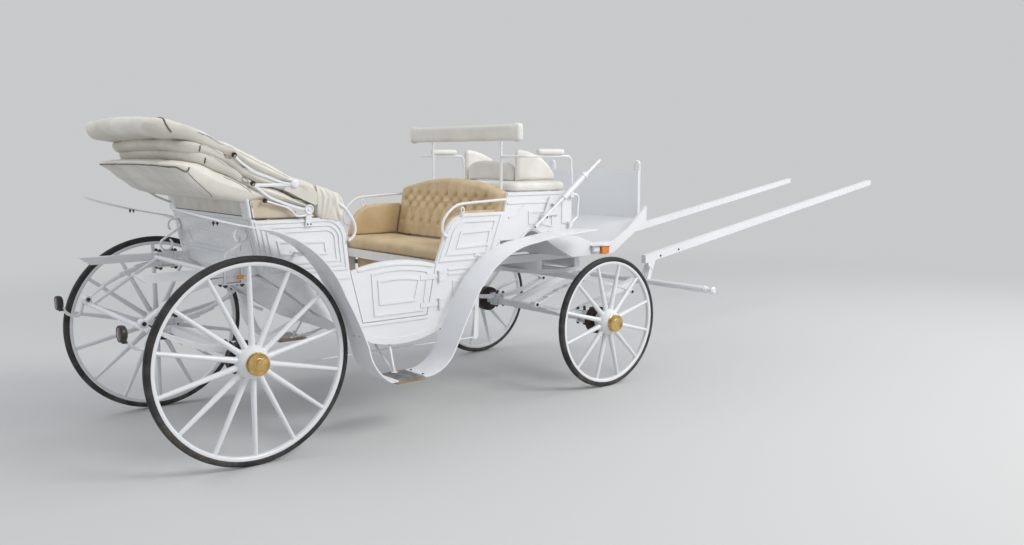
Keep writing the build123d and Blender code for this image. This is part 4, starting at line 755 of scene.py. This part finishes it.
# the flap over the pivots and the wrap round each arm's nose
FLAP = [(357, 1467), (410, 1444), (452, 1416), (463, 1402), (469, 1374), (466, 1347), (451, 1334), (380, 1366),
        (306, 1406), (264, 1424), (300, 1448)]
FOLDS = [((497, 1382), (484, 1262)), ((533, 1376), (506, 1258)), ((573, 1364), (521, 1260)),
         ((619, 1318), (591, 1274)), ((591, 1274), (586, 1246)), ((560, 1330), (596, 1262))]
WRAP_POINTS = 56
for hand, word in SIDES:
    build(f"hood_flap_{word}", slab(FLAP, on_side(hand, 600.5), 5, 1.5), CLOTH, sharp=40)
    rings = []
    top_at = smooth_table([(460, 1447), (500, 1431), (588, 1401), (640, 1374)])
    low_at = smooth_table([(460, 1290), (484, 1258), (520, 1246), (586, 1240), (640, 1248)])
    for step in range(45):
        x = 462 + 176 * step / 44
        end = max(0.0, (x - 590) / 48)
        plump = math.sqrt(max(0.02, 1 - min(1.0, end) ** 2))
        high, low = top_at(x), low_at(x)
        ring = []
        for i, (u, v) in enumerate(squarish(WRAP_POINTS, 38 * (0.35 + 0.65 * plump),
                                            ((high - low) / 2 + 2) * plump, 0.5, 0.7)):
            z = (high + low) / 2 + v
            crease = 0.0
            for (x0, z0), (x1, z1) in FOLDS:
                t = max(0.0, min(1.0, ((x - x0) * (x1 - x0) + (z - z0) * (z1 - z0))
                                 / ((x1 - x0) ** 2 + (z1 - z0) ** 2)))
                gap = (x - x0 - t * (x1 - x0)) * 0.94 + (z - z0 - t * (z1 - z0)) * 0.3
                crease += 4.2 * math.exp(-((gap - 5) / 6) ** 2) - 4.2 * math.exp(-((gap + 5) / 6) ** 2)
            outward = max(0.0, math.cos(math.tau * (i + 0.5) / WRAP_POINTS))
            ring.append(at(x, hand * (569 + u + crease * outward), z))
        rings.append(ring)
    wrap = build(f"hood_wrap_{word}", skin(rings), CLOTH, sharp=70)
    ruffle(wrap, 3, 11.0, (1.4, 1, 0.7))

prop = [(-132, 548, 1412), (-107, 550, 1407), (-63, 552, 1384), (-19, 555, 1356), (40, 560, 1330),
        (75, 566, 1318)]
build("hood_prop", pipe(curve_through([at(*point) for point in prop], 6), 7, 10), IVORY)


# ---------------------------------------------------------------- hood irons

IRON_Y = 611.5


def flat_bar(points, y, width, depth, hand):
    """A flat iron bar on edge along (x, z) points, rounded at its corners."""
    line = curve_through([Vector((x, z, 0)) for x, z in points], 6)
    rings = []
    for i, point in enumerate(line):
        run = (line[min(i + 1, len(line) - 1)] - line[max(i - 1, 0)]).normalized()
        up = Vector((-run.y, run.x, 0))
        ring = []
        for u, v in ((1, 0.55), (0.75, 1), (-0.75, 1), (-1, 0.55), (-1, -0.55), (-0.75, -1), (0.75, -1),
                     (1, -0.55)):
            spot = point + up * (u * width / 2)
            ring.append(at(spot.x, hand * (y + v * depth / 2), spot.y))
        rings.append(ring)
    return skin(rings)


def dome(x, y, z, hand, radius, height, segments=28, rim=0.0):
    """A turned boss on the side, standing outward from y."""
    if rim:
        profile = [(radius, 0), (radius, height * 0.7), (radius - rim * 0.5, height),
                   (radius - rim, height * 0.8), (radius - rim * 1.3, height * 0.55),
                   (radius * 0.3, height * 0.5), (radius * 0.22, height * 0.9), (0, height)]
    else:
        profile = [(radius, 0), (radius, height * 0.45), (radius * 0.93, height * 0.68),
                   (radius * 0.75, height * 0.88), (radius * 0.45, height * 0.97), (0, height)]
    return turned(profile, at(x, hand * y, z), (0, hand, 0), segments)


UPPER_IRON = [(-3, 1608), (35, 1568), (101, 1523), (169, 1496), (237, 1469), (284, 1457), (322, 1456)]
LOWER_IRON = [(92, 1461), (112, 1441), (178, 1390), (252, 1357), (328, 1330), (376, 1318), (408, 1314)]
LOW_ROD = [(155, 1369), (214, 1350), (280, 1329), (312, 1306), (328, 1286), (352, 1279), (386, 1284),
           (402, 1300)]
STRUT = [(96, 1452), (208, 1450), (310, 1452)]
IRON_FOOT = [(386, 1222), (430, 1222), (424, 1262), (424, 1306), (392, 1306), (390, 1262)]
BALL_X, BALL_Z = 326, 1456
PIVOT_X, PIVOT_Z = 408, 1314
irons, bolts = [], []
for hand in (-1, 1):
    irons.append(flat_bar(UPPER_IRON, IRON_Y - 2, 13, 7, hand))
    irons.append(flat_bar(LOWER_IRON, IRON_Y - 2, 14, 7, hand))
    irons.append(flat_bar(STRUT, IRON_Y - 4, 17, 6, hand))
    irons.append(pipe(curve_through([at(x, hand * (IRON_Y - 4), z) for x, z in LOW_ROD], 5), 5.5, 10))
    irons.append(dome(BALL_X, IRON_Y - 6, BALL_Z, hand, 23, 15))
    irons.append(dome(PIVOT_X, IRON_Y - 8, PIVOT_Z, hand, 27, 15, rim=8))
    irons.append(slab(IRON_FOOT, on_side(hand, 597.5), 10, 1.5))
    for x, z, radius in ((-3, 1608, 13), (92, 1461, 13), (155, 1369, 12)):
        bolts.append(dome(x, IRON_Y - 6, z, hand, radius, 13, 20, rim=3.5))
    for x, z in ((398, 1234), (418, 1234)):
        bolts.append(dome(x, 607, z, hand, 4.5, 4, 12))
build("hood_irons_bent", gather(irons), WHITE, sharp=40, replaces=("hood_irons",))
build("hood_iron_bolts", gather(bolts), RUST, sharp=40)

# the rear corner: white post, the opening's dark edge, a painted shadow along its left and bottom sides, and
# the tan lining behind it
corner_posts, opening_shadows, linings = [], [], []
for hand in (-1, 1):
    corner_posts.append(pipe([at(79, hand * 588, 1282), at(72, hand * 588, 1340), at(66, hand * 586, 1384)], 9,
                             10))
    board = [(hand * 502, 1268), (hand * 590, 1268), (hand * 590, 1374), (hand * 502, 1374)]
    corner_posts.append(slab(board if hand > 0 else board[::-1], on_back, 7, 2))
    edge = [at(x, hand * 592, z) for x, z in ((76, 1366), (91, 1276), (352, 1269))]
    opening_shadows.append(pipe(bent(edge, 6), 4.2, 8))
    lining = [(96, 1360), (96, 1276), (345, 1272), (345, 1306), (286, 1330), (180, 1366), (140, 1380)]
    linings.append(slab(lining, on_side(hand, 574), 8, 2))
build("hood_corner_posts", gather(corner_posts), WHITE)
build("hood_opening_shadow", gather(opening_shadows), PIPING_AND_SHADE)
build("hood_lining", gather(linings), LINING, sharp=40)


# ---------------------------------------------------------------- benches

INSIDE = 567
BUTTON = [(0.1, 5.5), (5, 4.8), (8.5, 2.6), (9.5, 0), (8.5, -2.6), (0.1, -3)]


def tufted(name, y_half, foot, top_of, face, back, rows, spacing, replaces, puffed=13, button_depth=16,
           edge=26):
    """A buttoned back-rest: vertical pleats above and below, diamonds between the button rows."""
    buttons = []
    for index, z in enumerate(rows):
        start = 0 if index % 2 == 0 else spacing / 2
        count = int((y_half - 30 - start) / spacing)
        places = [start + spacing * k for k in range(-count - 1, count + 1)]
        buttons.append([(y, z) for y in places if abs(y) < y_half - 26])
    creases = [(y, z, y, 3000) for y, z in buttons[0]] + [(y, z, y, 0) for y, z in buttons[-1]]
    for first, second in zip(buttons, buttons[1:]):
        for y0, z0 in first:
            for y1, z1 in second:
                if abs(y1 - y0) < spacing * 0.6:
                    creases.append((y0, z0, y1, z1))

    def section(z):
        """The place of the flat back, the way to the face, and the depth left under the pleats."""
        front_x, back_x = face(z), back(z)
        return back_x, 1 if front_x > back_x else -1, abs(front_x - back_x) - puffed - 1

    across_count, up_count = 210, 84
    reach = spacing / 2
    verts = []
    for j in range(up_count + 1):
        for i in range(across_count + 1):
            y = -y_half + 2 * y_half * i / across_count
            top = top_of(y)
            z = foot + (top - foot) * j / up_count
            near = 1e9
            for y0, z0, y1, z1 in creases:
                if abs(y - y0) > spacing and abs(y - y1) > spacing:
                    continue
                dy, dz = y1 - y0, z1 - z0
                t = max(0.0, min(1.0, ((y - y0) * dy + (z - z0) * dz) / (dy * dy + dz * dz)))
                near = min(near, math.hypot(y - y0 - t * dy, z - z0 - t * dz))
            pillow = math.sin(min(1.0, near / (reach * 0.92)) * math.pi / 2) ** 0.8 * puffed
            dimple = 0.0
            for row in buttons:
                for by, bz in row:
                    far = (y - by) ** 2 + (z - bz) ** 2
                    if far < 1800:
                        dimple = max(dimple, math.exp(-far / 260))
            rim = min(y_half - abs(y), z - foot + edge, top - z)
            roll = math.sqrt(max(0.0, 1 - (1 - min(1.0, rim / edge)) ** 2))
            back_x, way, full = section(z)
            x = back_x + way * ((full + pillow - dimple * button_depth) * roll)
            verts.append(at(x, y, z))
    width = across_count + 1
    faces = []
    for j in range(up_count):
        for i in range(across_count):
            a = j * width + i
            faces.append((a, a + 1, a + width + 1, a + width))
    shift = len(verts)
    border = [*range(width)] + [j * width + across_count for j in range(1, up_count + 1)]
    border += [up_count * width + i for i in range(across_count - 1, -1, -1)]
    border += [j * width for j in range(up_count - 1, 0, -1)]
    for index in border:
        point = verts[index]
        verts.append(Vector((AXLE_X + back(point.z * 1000) / 1000, point.y, point.z)))
    count = len(border)
    for k in range(count):
        n = (k + 1) % count
        faces.append((border[k], border[n], shift + n, shift + k))
    faces.append(tuple(shift + k for k in range(count)))
    obj = build(name, (verts, faces), TAN, sharp=60, replaces=replaces)
    ruffle(obj, 1.2, 34)
    studs = []
    for row in buttons:
        for y, z in row:
            back_x, way, full = section(z)
            x = back_x + way * (full - button_depth + 5)
            studs.append(turned(BUTTON, at(x, y, z), (way, 0, 0), 12))
    build(name + "_buttons", gather(studs), TAN)
    return obj


def arch(y, crown, corner_z, half):
    """Height of the arched top edge at y."""
    rise = crown - corner_z
    radius = (half * half + rise * rise) / (2 * rise)
    return crown - radius + math.sqrt(radius * radius - y * y)


tufted(
    "front_bench_back", INSIDE, 1048, lambda y: arch(y, 1450, 1375, INSIDE),
    face=lambda z: 1696 + (z - 1045) * 0.171, back=lambda z: 1747 + (z - 1017) * 0.2 - 0.5,
    rows=(1335, 1292, 1249, 1140), spacing=110, replaces=("front_seat_back",))
tufted(
    "rear_bench_back", INSIDE, 1050, lambda y: 1312,
    face=lambda z: 239 - (z - 1045) * 0.195, back=lambda z: 96 + (1330 - z) * 0.1956,
    rows=(1238, 1196, 1154), spacing=110, replaces=("rear_seat_back",))


def bench_cushion(name, front, back, way, replaces):
    """A long seat cushion whose front rolls over the rail, flat underneath."""
    rings = []
    profile = [(front + way * x, z) for x, z in (
        (0, 972), (-7, 990), (-8, 1010), (2, 1030), (24, 1039), (90, 1041), (200, 1040))]
    profile += [(back - way * x, z) for x, z in ((60, 1038), (4, 1032), (0, 1010), (0, 972), (4, 960.5))]
    profile.append((front + way * 8, 960.5))
    for share in (-1, -0.985, -0.95, -0.8, -0.5, 0, 0.5, 0.8, 0.95, 0.985, 1):
        y = (INSIDE - 6) * share
        pull = 5 if abs(share) > 0.99 else (1.5 if abs(share) > 0.97 else 0)
        ring = []
        middle_x, middle_z = (front + back) / 2, 1000
        for x, z in profile:
            dx = math.copysign(min(pull, abs(x - middle_x)), middle_x - x)
            dz = math.copysign(pull, middle_z - z)
            ring.append(at(x + dx, y, z + dz))
        rings.append(ring)
    made = puff(name, skin(rings), TAN, replaces, voxel=0.011, pressure=3.0, cap=0.007)
    ruffle(made, 3.2, 4.2, (1.0, 1.3, 0.4))
    return ruffle(made, 1.3, 13, (1.0, 1.6, 0.5))


bench_cushion("front_bench_cushion", 1292, 1684, 1, ("front_seat_cushion",))
bench_cushion("rear_bench_cushion", 636, 252, -1, ("rear_seat_cushion",))

# padded side walls of both benches
REAR_WALL = [(256, 1046), (646, 1046), (636, 1140), (616, 1208), (578, 1252), (528, 1272), (205, 1272)]
FRONT_WALL = [(1302, 1046), (1696, 1046), (1733, 1260), (1520, 1262), (1440, 1252), (1370, 1210), (1330, 1150)]
for hand, word in SIDES:
    for label, outline in (("rear", REAR_WALL), ("front", FRONT_WALL)):
        rings = layered(outline, ((0, 0), (0, 14), (4, 22), (12, 27), (26, 28.5), (60, 29)),
                        on_side(hand, INSIDE, -1))
        build(f"{label}_wall_{word}", skin(rings), TAN, sharp=60,
              replaces=("side_pads",) if (word, label) == ("right", "rear") else ())


# ---------------------------------------------------------------- driver's seat

puff("driver_seat_cushion", soft_block((1944, -500, 1367.5), (2446, 500, 1424), 16), IVORY, ("driver_cushion",),
     voxel=0.011, cap=0.006)

# the long padded bar on the posts, with rounded ends and end seams
BAR_X, BAR_Z, BAR_HALF, BAR_DEEP, BAR_HIGH = 1896, 1753.5, 630, 27, 58
rings = []
for share, size in ((-1, 0.55), (-0.996, 0.78), (-0.988, 0.93), (-0.97, 1), (-0.5, 1), (0, 1), (0.5, 1),
                    (0.97, 1), (0.988, 0.93), (0.996, 0.78), (1, 0.55)):
    around = squarish(32, BAR_DEEP * size, BAR_HIGH * (size * 0.5 + 0.5), 0.45)
    rings.append([at(BAR_X + u, BAR_HALF * share, BAR_Z + v) for u, v in around])
puff("headrest_bar", skin(rings), IVORY, ("headrest",), cap=0.004)
cords = []
for y in (-594, 594):
    around = squarish(40, BAR_DEEP + 0.6, BAR_HIGH + 0.6, 0.45, offset=0)
    around = [at(BAR_X + u, y, BAR_Z + v) for u, v in around]
    cords.append(pipe(around, 1.8, 8, loop=True))
build("headrest_piping", gather(cords), IVORY)

BUCKET_FOOT = 1429
back_rings = []
for share, lean, half in ((0, 0, 262), (0.12, 0, 262), (0.5, 0, 262), (0.64, 0, 256), (0.77, -1, 238),
                          (0.87, -3, 208), (0.94, -6, 170), (0.98, -11, 130), (1, -16, 90)):
    around = squarish(36, 22 + lean * 0.6, half, 0.5, 0.25)
    back_rings.append([at(2150 + u, v, BUCKET_FOOT + 146 * share) for u, v in around])
puff("bucket_back", skin(back_rings), IVORY, ("driver_backrest",))
for hand, word in SIDES:
    wing = [(2129, BUCKET_FOOT), (2478, BUCKET_FOOT), (2484, 1456), (2476, 1484), (2440, 1532), (2373, 1588),
            (2297, 1621), (2222, 1642), (2170, 1649), (2140, 1644), (2128, 1622)]
    rings = layered(wing, ((16, 1), (5, 5), (0, 13), (0, 27), (5, 35), (16, 39)), on_side(hand, 271))
    puff(f"bucket_wing_{word}", skin(rings), IVORY)

for hand, word in SIDES:
    rings = []
    for share, size in ((-1, 0.4), (-0.96, 0.66), (-0.85, 0.87), (-0.6, 0.97), (0, 1), (0.6, 0.97),
                        (0.85, 0.87), (0.96, 0.66), (1, 0.4)):
        around = squarish(28, 27 * size, 21 * (0.5 + 0.5 * size), 0.8)
        rings.append([at(2168 + 116 * share, hand * 609.3 + u, 1628 + v) for u, v in around])
    puff(f"arm_cushion_{word}", skin(rings), IVORY, ("arm_pads",) if hand < 0 else (), voxel=0.006,
         pressure=1.0, cap=0.002)

# ---------------------------------------------------------------- rails, steps, lamps and bolts


def nut(x, y, z, axis, radius=12.5, height=10, stud=6):
    """A six-sided nut with the bolt's end standing out of it; y is signed."""
    place = at(x, y, z)
    top = height + stud
    body = [(radius * 0.93, 0), (radius, 1), (radius, height - 1.2), (radius * 0.9, height), (0, height)]
    end = [(radius * 0.5, 0), (radius * 0.5, top - 1), (radius * 0.4, top), (0, top)]
    return gather([turned(body, place, axis, 6), turned(end, place, axis, 12)])


FRONT_RAIL = [(1327, 1112), (1298, 1133), (1291, 1165), (1300, 1209), (1331, 1252), (1386, 1293), (1442, 1309),
              (1602, 1318), (1785, 1326)]
REAR_RAIL = [(596, 1336), (628, 1313), (655, 1279), (682, 1237), (692, 1191), (680, 1154), (648, 1130)]
rails = []
for hand in (-1, 1):
    for line in (FRONT_RAIL, REAR_RAIL):
        rails.append(pipe(curve_through([at(x, hand * 605.3, z) for x, z in line], 6), 8.5, 12))
    eye = [at(1447 + 11 * math.cos(a), hand * 603.5, 1269 + 18 * math.sin(a)) for a in spread(0, math.tau, 28)]
    rails.append(pipe(eye, 5.5, 10, loop=True))
    rails.append(slab([(1438, 1236), (1456, 1236), (1455, 1254), (1439, 1254)],
                      on_side(hand, 597), 9, 1.5))
build("side_rails_bent", gather(rails), WHITE, sharp=50, replaces=("side_rails",))

boards, treads, stays, tongue_bolts = [], [], [], []
for hand in (-1, 1):
    plan = [(786, 628), (992, 628), (992, 862), (984, 870), (794, 870), (786, 862)]
    boards.append(slab(plan, on_top(hand, 326.7), 14, 2.5))
    plan = [(803, 652), (970, 652), (970, 866), (803, 866)]
    treads.append(slab(plan, on_top(hand, 340.3), 3, 1.0))
    for i in range(9):
        for j in range(11):
            x, y = 813 + 18.4 * i, 663 + 19.4 * j
            way = 1 if (i + j) % 2 else -1
            ends = [at(x - 4.6, hand * (y - 4.6 * way), 343.1), at(x + 4.6, hand * (y + 4.6 * way), 343.1)]
            treads.append(pipe(ends, 1.7, 6))
    stays.append(pipe([at(940, hand * 536, 540), at(934, hand * 552, 500), at(899, hand * 664, 343)], 12, 14,
                      flat=0.6))
    stays.append(pipe([at(1012, hand * 130, 530), at(939, hand * 450, 410), at(897, hand * 650, 345)], 7, 10))
    stays.append(turned([(0, 0), (20, 0), (20, 4), (14, 7), (0, 7)], at(899, hand * 662, 340.5), UP, 20))
    for y in (700, 825):
        tongue_bolts.append(nut(990, hand * y, 349.3, UP, 6.5, 4, 2))
build("step_boards", gather(boards), WOOD, sharp=40, replaces=("steps",))
build("step_chequer", gather(treads), TREAD, sharp=40)
build("step_stays", gather(stays), WHITE, sharp=40)

# lamps: white bent tubes with black lamps at the tail, marker lamps under the footwell
tubes, cases, lenses, plates, clears = [], [], [], [], []
TIE_X, TIE_Z = -460, 744.5
LAMP_Y, LAMP_Z = 600, 751
tie = [(TIE_X, TIE_Z), (-485, 655), (-560, 680), (-585, LAMP_Z)]
for hand in (-1, 1):
    tubes.append(pipe(bent([at(TIE_X, hand * 588, TIE_Z), *[at(x, hand * LAMP_Y, z) for x, z in tie]], 34, 8),
                      9, 12))
    tubes.append(turned([(13, 0), (15, 1), (15, 9), (13, 10), (0, 10)], at(TIE_X, hand * 588, TIE_Z),
                        (0, hand, 0), 20))
    case = [(0, -575), (30, -576), (37, -580), (42, -590), (42, -606), (40, -611), (35, -611), (33, -608),
            (0, -608)]
    cases.append(turned([(r, -a) for r, a in case], at(0, hand * LAMP_Y, LAMP_Z), (-1, 0, 0), 36))
    cases.append(turned([(0, 0), (14, 0), (14, 9), (10, 12), (0, 12)], at(-585, hand * LAMP_Y, 703), UP, 20))
    lenses.append(turned([(33, 606), (31, 610), (20, 613.5), (0, 614.5)], at(0, hand * LAMP_Y, LAMP_Z),
                         (-1, 0, 0), 32))
    plates.append(slab([(2560, 975), (2735, 968), (2735, 973), (2560, 980)],
                       on_side(hand, 590.5), 38, 1.0))
    clears.append(slab([(2572, 934), (2634, 934), (2634, 973), (2572, 976)],
                       on_side(hand, 590.5), 26, 4.0))
    lenses.append(slab([(2655, 920), (2690, 914), (2724, 920), (2728, 969), (2652, 972)],
                       on_side(hand, 591), 30, 5.0))
build("lamp_tubes", gather(tubes), WHITE, sharp=40, replaces=("lamps",))
build("lamp_cases", gather(cases), BLACK)
build("lamp_tail_lenses", gather(lenses[::2]), GLASS)
build("lamp_marker_lenses", gather(lenses[1::2]), ORANGE)
build("lamp_marker_plates", gather(plates), CHROME)
build("lamp_marker_cases", gather(clears), WHITE)


SPRING_Y = 500
CLAMP_REACH = 33
NUT_DEPTH = 12.2


def clamp_nuts(node_name, centre_x, reach, bottom, top):
    """Nuts above and below the stack of plates between two heights, found from the clamp's own points."""
    made = []
    points = [v.co for v in frame["nodes"][node_name].data.vertices]
    heights = [p.z * 1000 for p in points if abs((p.x - AXLE_X) * 1000 - centre_x) < reach + 7]
    heights = [h for h in heights if bottom < h < top]
    for hand in (-1, 1):
        for way in (-1, 1):
            for flank in (-1, 1):
                x, y = centre_x + way * reach, hand * SPRING_Y + flank * CLAMP_REACH
                made.append(nut(x, y, max(heights) - NUT_DEPTH, UP))
                made.append(nut(x, y, min(heights) + NUT_DEPTH, (0, 0, -1)))
    return made


nuts = clamp_nuts("spring_clamps_rear", 0, 46, 800, 9999) + clamp_nuts("spring_clamps_rear", 0, 32, 0, 800)
build("clamp_nuts_rear", gather(nuts), BLACK, sharp=30)
build("clamp_nuts_front", gather(clamp_nuts("spring_clamps_front", FRONT_X, 32, 0, 9999)), BLACK,
      "forecarriage", sharp=30)

dark, bright, ambers = [*tongue_bolts], [], []
dark += [nut(2107, -640, 1203, (0, -1, 0), 12, 6, 4), nut(2146, -609, 1203, (0, -1, 0), 5, 3, 2),
         nut(2010, -640, 1141, (0, -1, 0), 8, 4, 2)]
for hand in (-1, 1):
    for x, y, z in ((595, 748, 617), (592, 818, 624)):
        dark.append(nut(x, hand * y, z, (-0.93, 0, -0.36), 7.5, 7, 2))
    arm = [at(600, hand * (845 - 12), 619), at(600, hand * 690, 611), at(618, hand * 640, 596),
           at(650, hand * 592, 578)]
    bright.append(pipe(arm, 11, 12, flat=0.5))
    dark.append(nut(1270, hand * 598.5, 708, (0, hand, 0), 8, 4, 2))
    for x in (-147, -127):
        dark.append(nut(x, hand * 664, 1276, (0, 0, -1), 6.5, 12, 8))
    for x in (858, 932):
        dark.append(nut(x, hand * 560, 512, (0, hand, 0), 7, 4, 2))
    bright.append(slab([(10, 952), (52, 952), (52, 984), (10, 984)], on_side(hand, 536), 6, 1))
    ambers.append(slab([(13, 957), (49, 957), (49, 979), (13, 979)], on_side(hand, 542),
                       7, 2.5))
build("fitting_bolts", gather(dark), RUST, sharp=30)
build("fitting_knobs", gather(bright), WHITE, sharp=30)
build("side_reflectors", gather(ambers), ORANGE, sharp=30)
LATCH_Y = 585
LATCH = [(0, 0), (8, 0), (8, 30), (6, 38), (0, 38)]
LATCH_KNOB = [(0, 0), (6, 0), (7, 4), (6, 10), (0, 11)]
LATCH_STEM = [(0, 0), (6, 0), (7.5, 12), (6, 25), (0, 25)]
for hand, word in SIDES:
    latch = [turned(LATCH, at(706, hand * LATCH_Y, 957), UP, 16),
             turned(LATCH_KNOB, at(708, hand * LATCH_Y, 1018), UP, 16)]
    build(f"door_latch_{word}", gather(latch), WHITE, f"{word}_door", sharp=30)
    build(f"door_latch_stem_{word}", turned(LATCH_STEM, at(707, hand * LATCH_Y, 994), UP, 16), BLACK,
          f"{word}_door", sharp=30)
    heads = [nut(x, hand * 471, z, (0, hand, 0), 8, 5, 2) for x, z in ((3439, 838), (3650, 873))]
    build(f"shaft_bolts_{word}", gather(heads), RUST, f"{word}_shaft", sharp=30)

# the long points of the front mudguards, a sleeve over the ends of the solid strips
POINT_X, NECK_X, GUARD_Y, GUARD_HALF = 2461, 2090, 765, 105
ridge = curve_through([Vector((x, 0, z)) for x, z in (
    (2040, 1100.0), (2100, 1105.5), (2150, 1109.3), (2200, 1112.4), (2250, 1114.7), (2290, 1116.0),
    (2340, 1116.2), (2384, 1114.8), (2424, 1111.0), (POINT_X, 1105.0))], 4)
points = []
for hand in (-1, 1):
    rings = []
    for spot in ridge:
        share = min(1.0, (POINT_X - spot.x) / (POINT_X - NECK_X))
        half = GUARD_HALF * math.sin(math.pi / 2 * share ** 0.8) + 1.0
        rings.append([at(spot.x, hand * (GUARD_Y + side_y), spot.z + up) for side_y, up in (
            (-half, 0.2), (-half + 0.9, 1.2), (half - 0.9, 1.2), (half, 0.2), (half, -8.2), (half - 0.9, -9.2),
            (-half + 0.9, -9.2), (-half, -8.2))])
    points.append(skin(rings))
build("front_guard_points", gather(points), WHITE, sharp=40)

# the brake's rod under the right side, from the rear drum to a crank under the driver's box
crank = [(1600, 428), (1622, 420), (1640, 436), (1652, 900), (1626, 900)]
rod = [at(40, -566, 500), at(120, -548, 470), at(240, -510, 449), at(840, -500, 449), at(1330, -500, 441),
       at(1612, -500, 436)]
brake = [pipe(curve_through(rod, 5), 5, 10), slab(crank, lambda u, v, h: at(u, -506 + h, v), 12, 2)]
build("brake_rod", gather(brake), WHITE, sharp=40)

# the springs' rolled eyes with their dark bolts
for label, centre_x, half, z, body in (("rear", 0, 465, 772.9, "carriage"),
                                       ("front", FRONT_X, 470, 598.5, "forecarriage")):
    rolled, pins = [], []
    for hand in (-1, 1):
        for way in (-1, 1):
            place = at(centre_x + way * half, hand * SPRING_Y, z)
            rolled.append(turned([(0, -26), (19, -26), (21, -23), (21, 23), (19, 26), (0, 26)], place,
                                 (0, 1, 0), 24))
            for flank in (-1, 1):
                pins.append(nut(centre_x + way * half, hand * SPRING_Y + flank * 25.8, z, (0, flank, 0), 12, 6,
                                4))
    build(f"spring_eyes_{label}", gather(rolled), WHITE, body, sharp=30)
    build(f"spring_pins_{label}", gather(pins), BLACK, body, sharp=30)

# collars near the ends of the splinter bar
ends = []
for hand in (-1, 1):
    for y, collar in ((1020, [(23.5, 0), (27, 2), (27, 12), (23.5, 14), (0, 14)]),
                      (1086, [(0, 0), (22, 0), (26, 5), (26, 15), (19, 22), (0, 24)])):
        ends.append(turned(collar, at(3290, hand * y, 650), (0, hand, 0), 28))
build("splinter_collars", gather(ends), WHITE, "forecarriage", sharp=30)
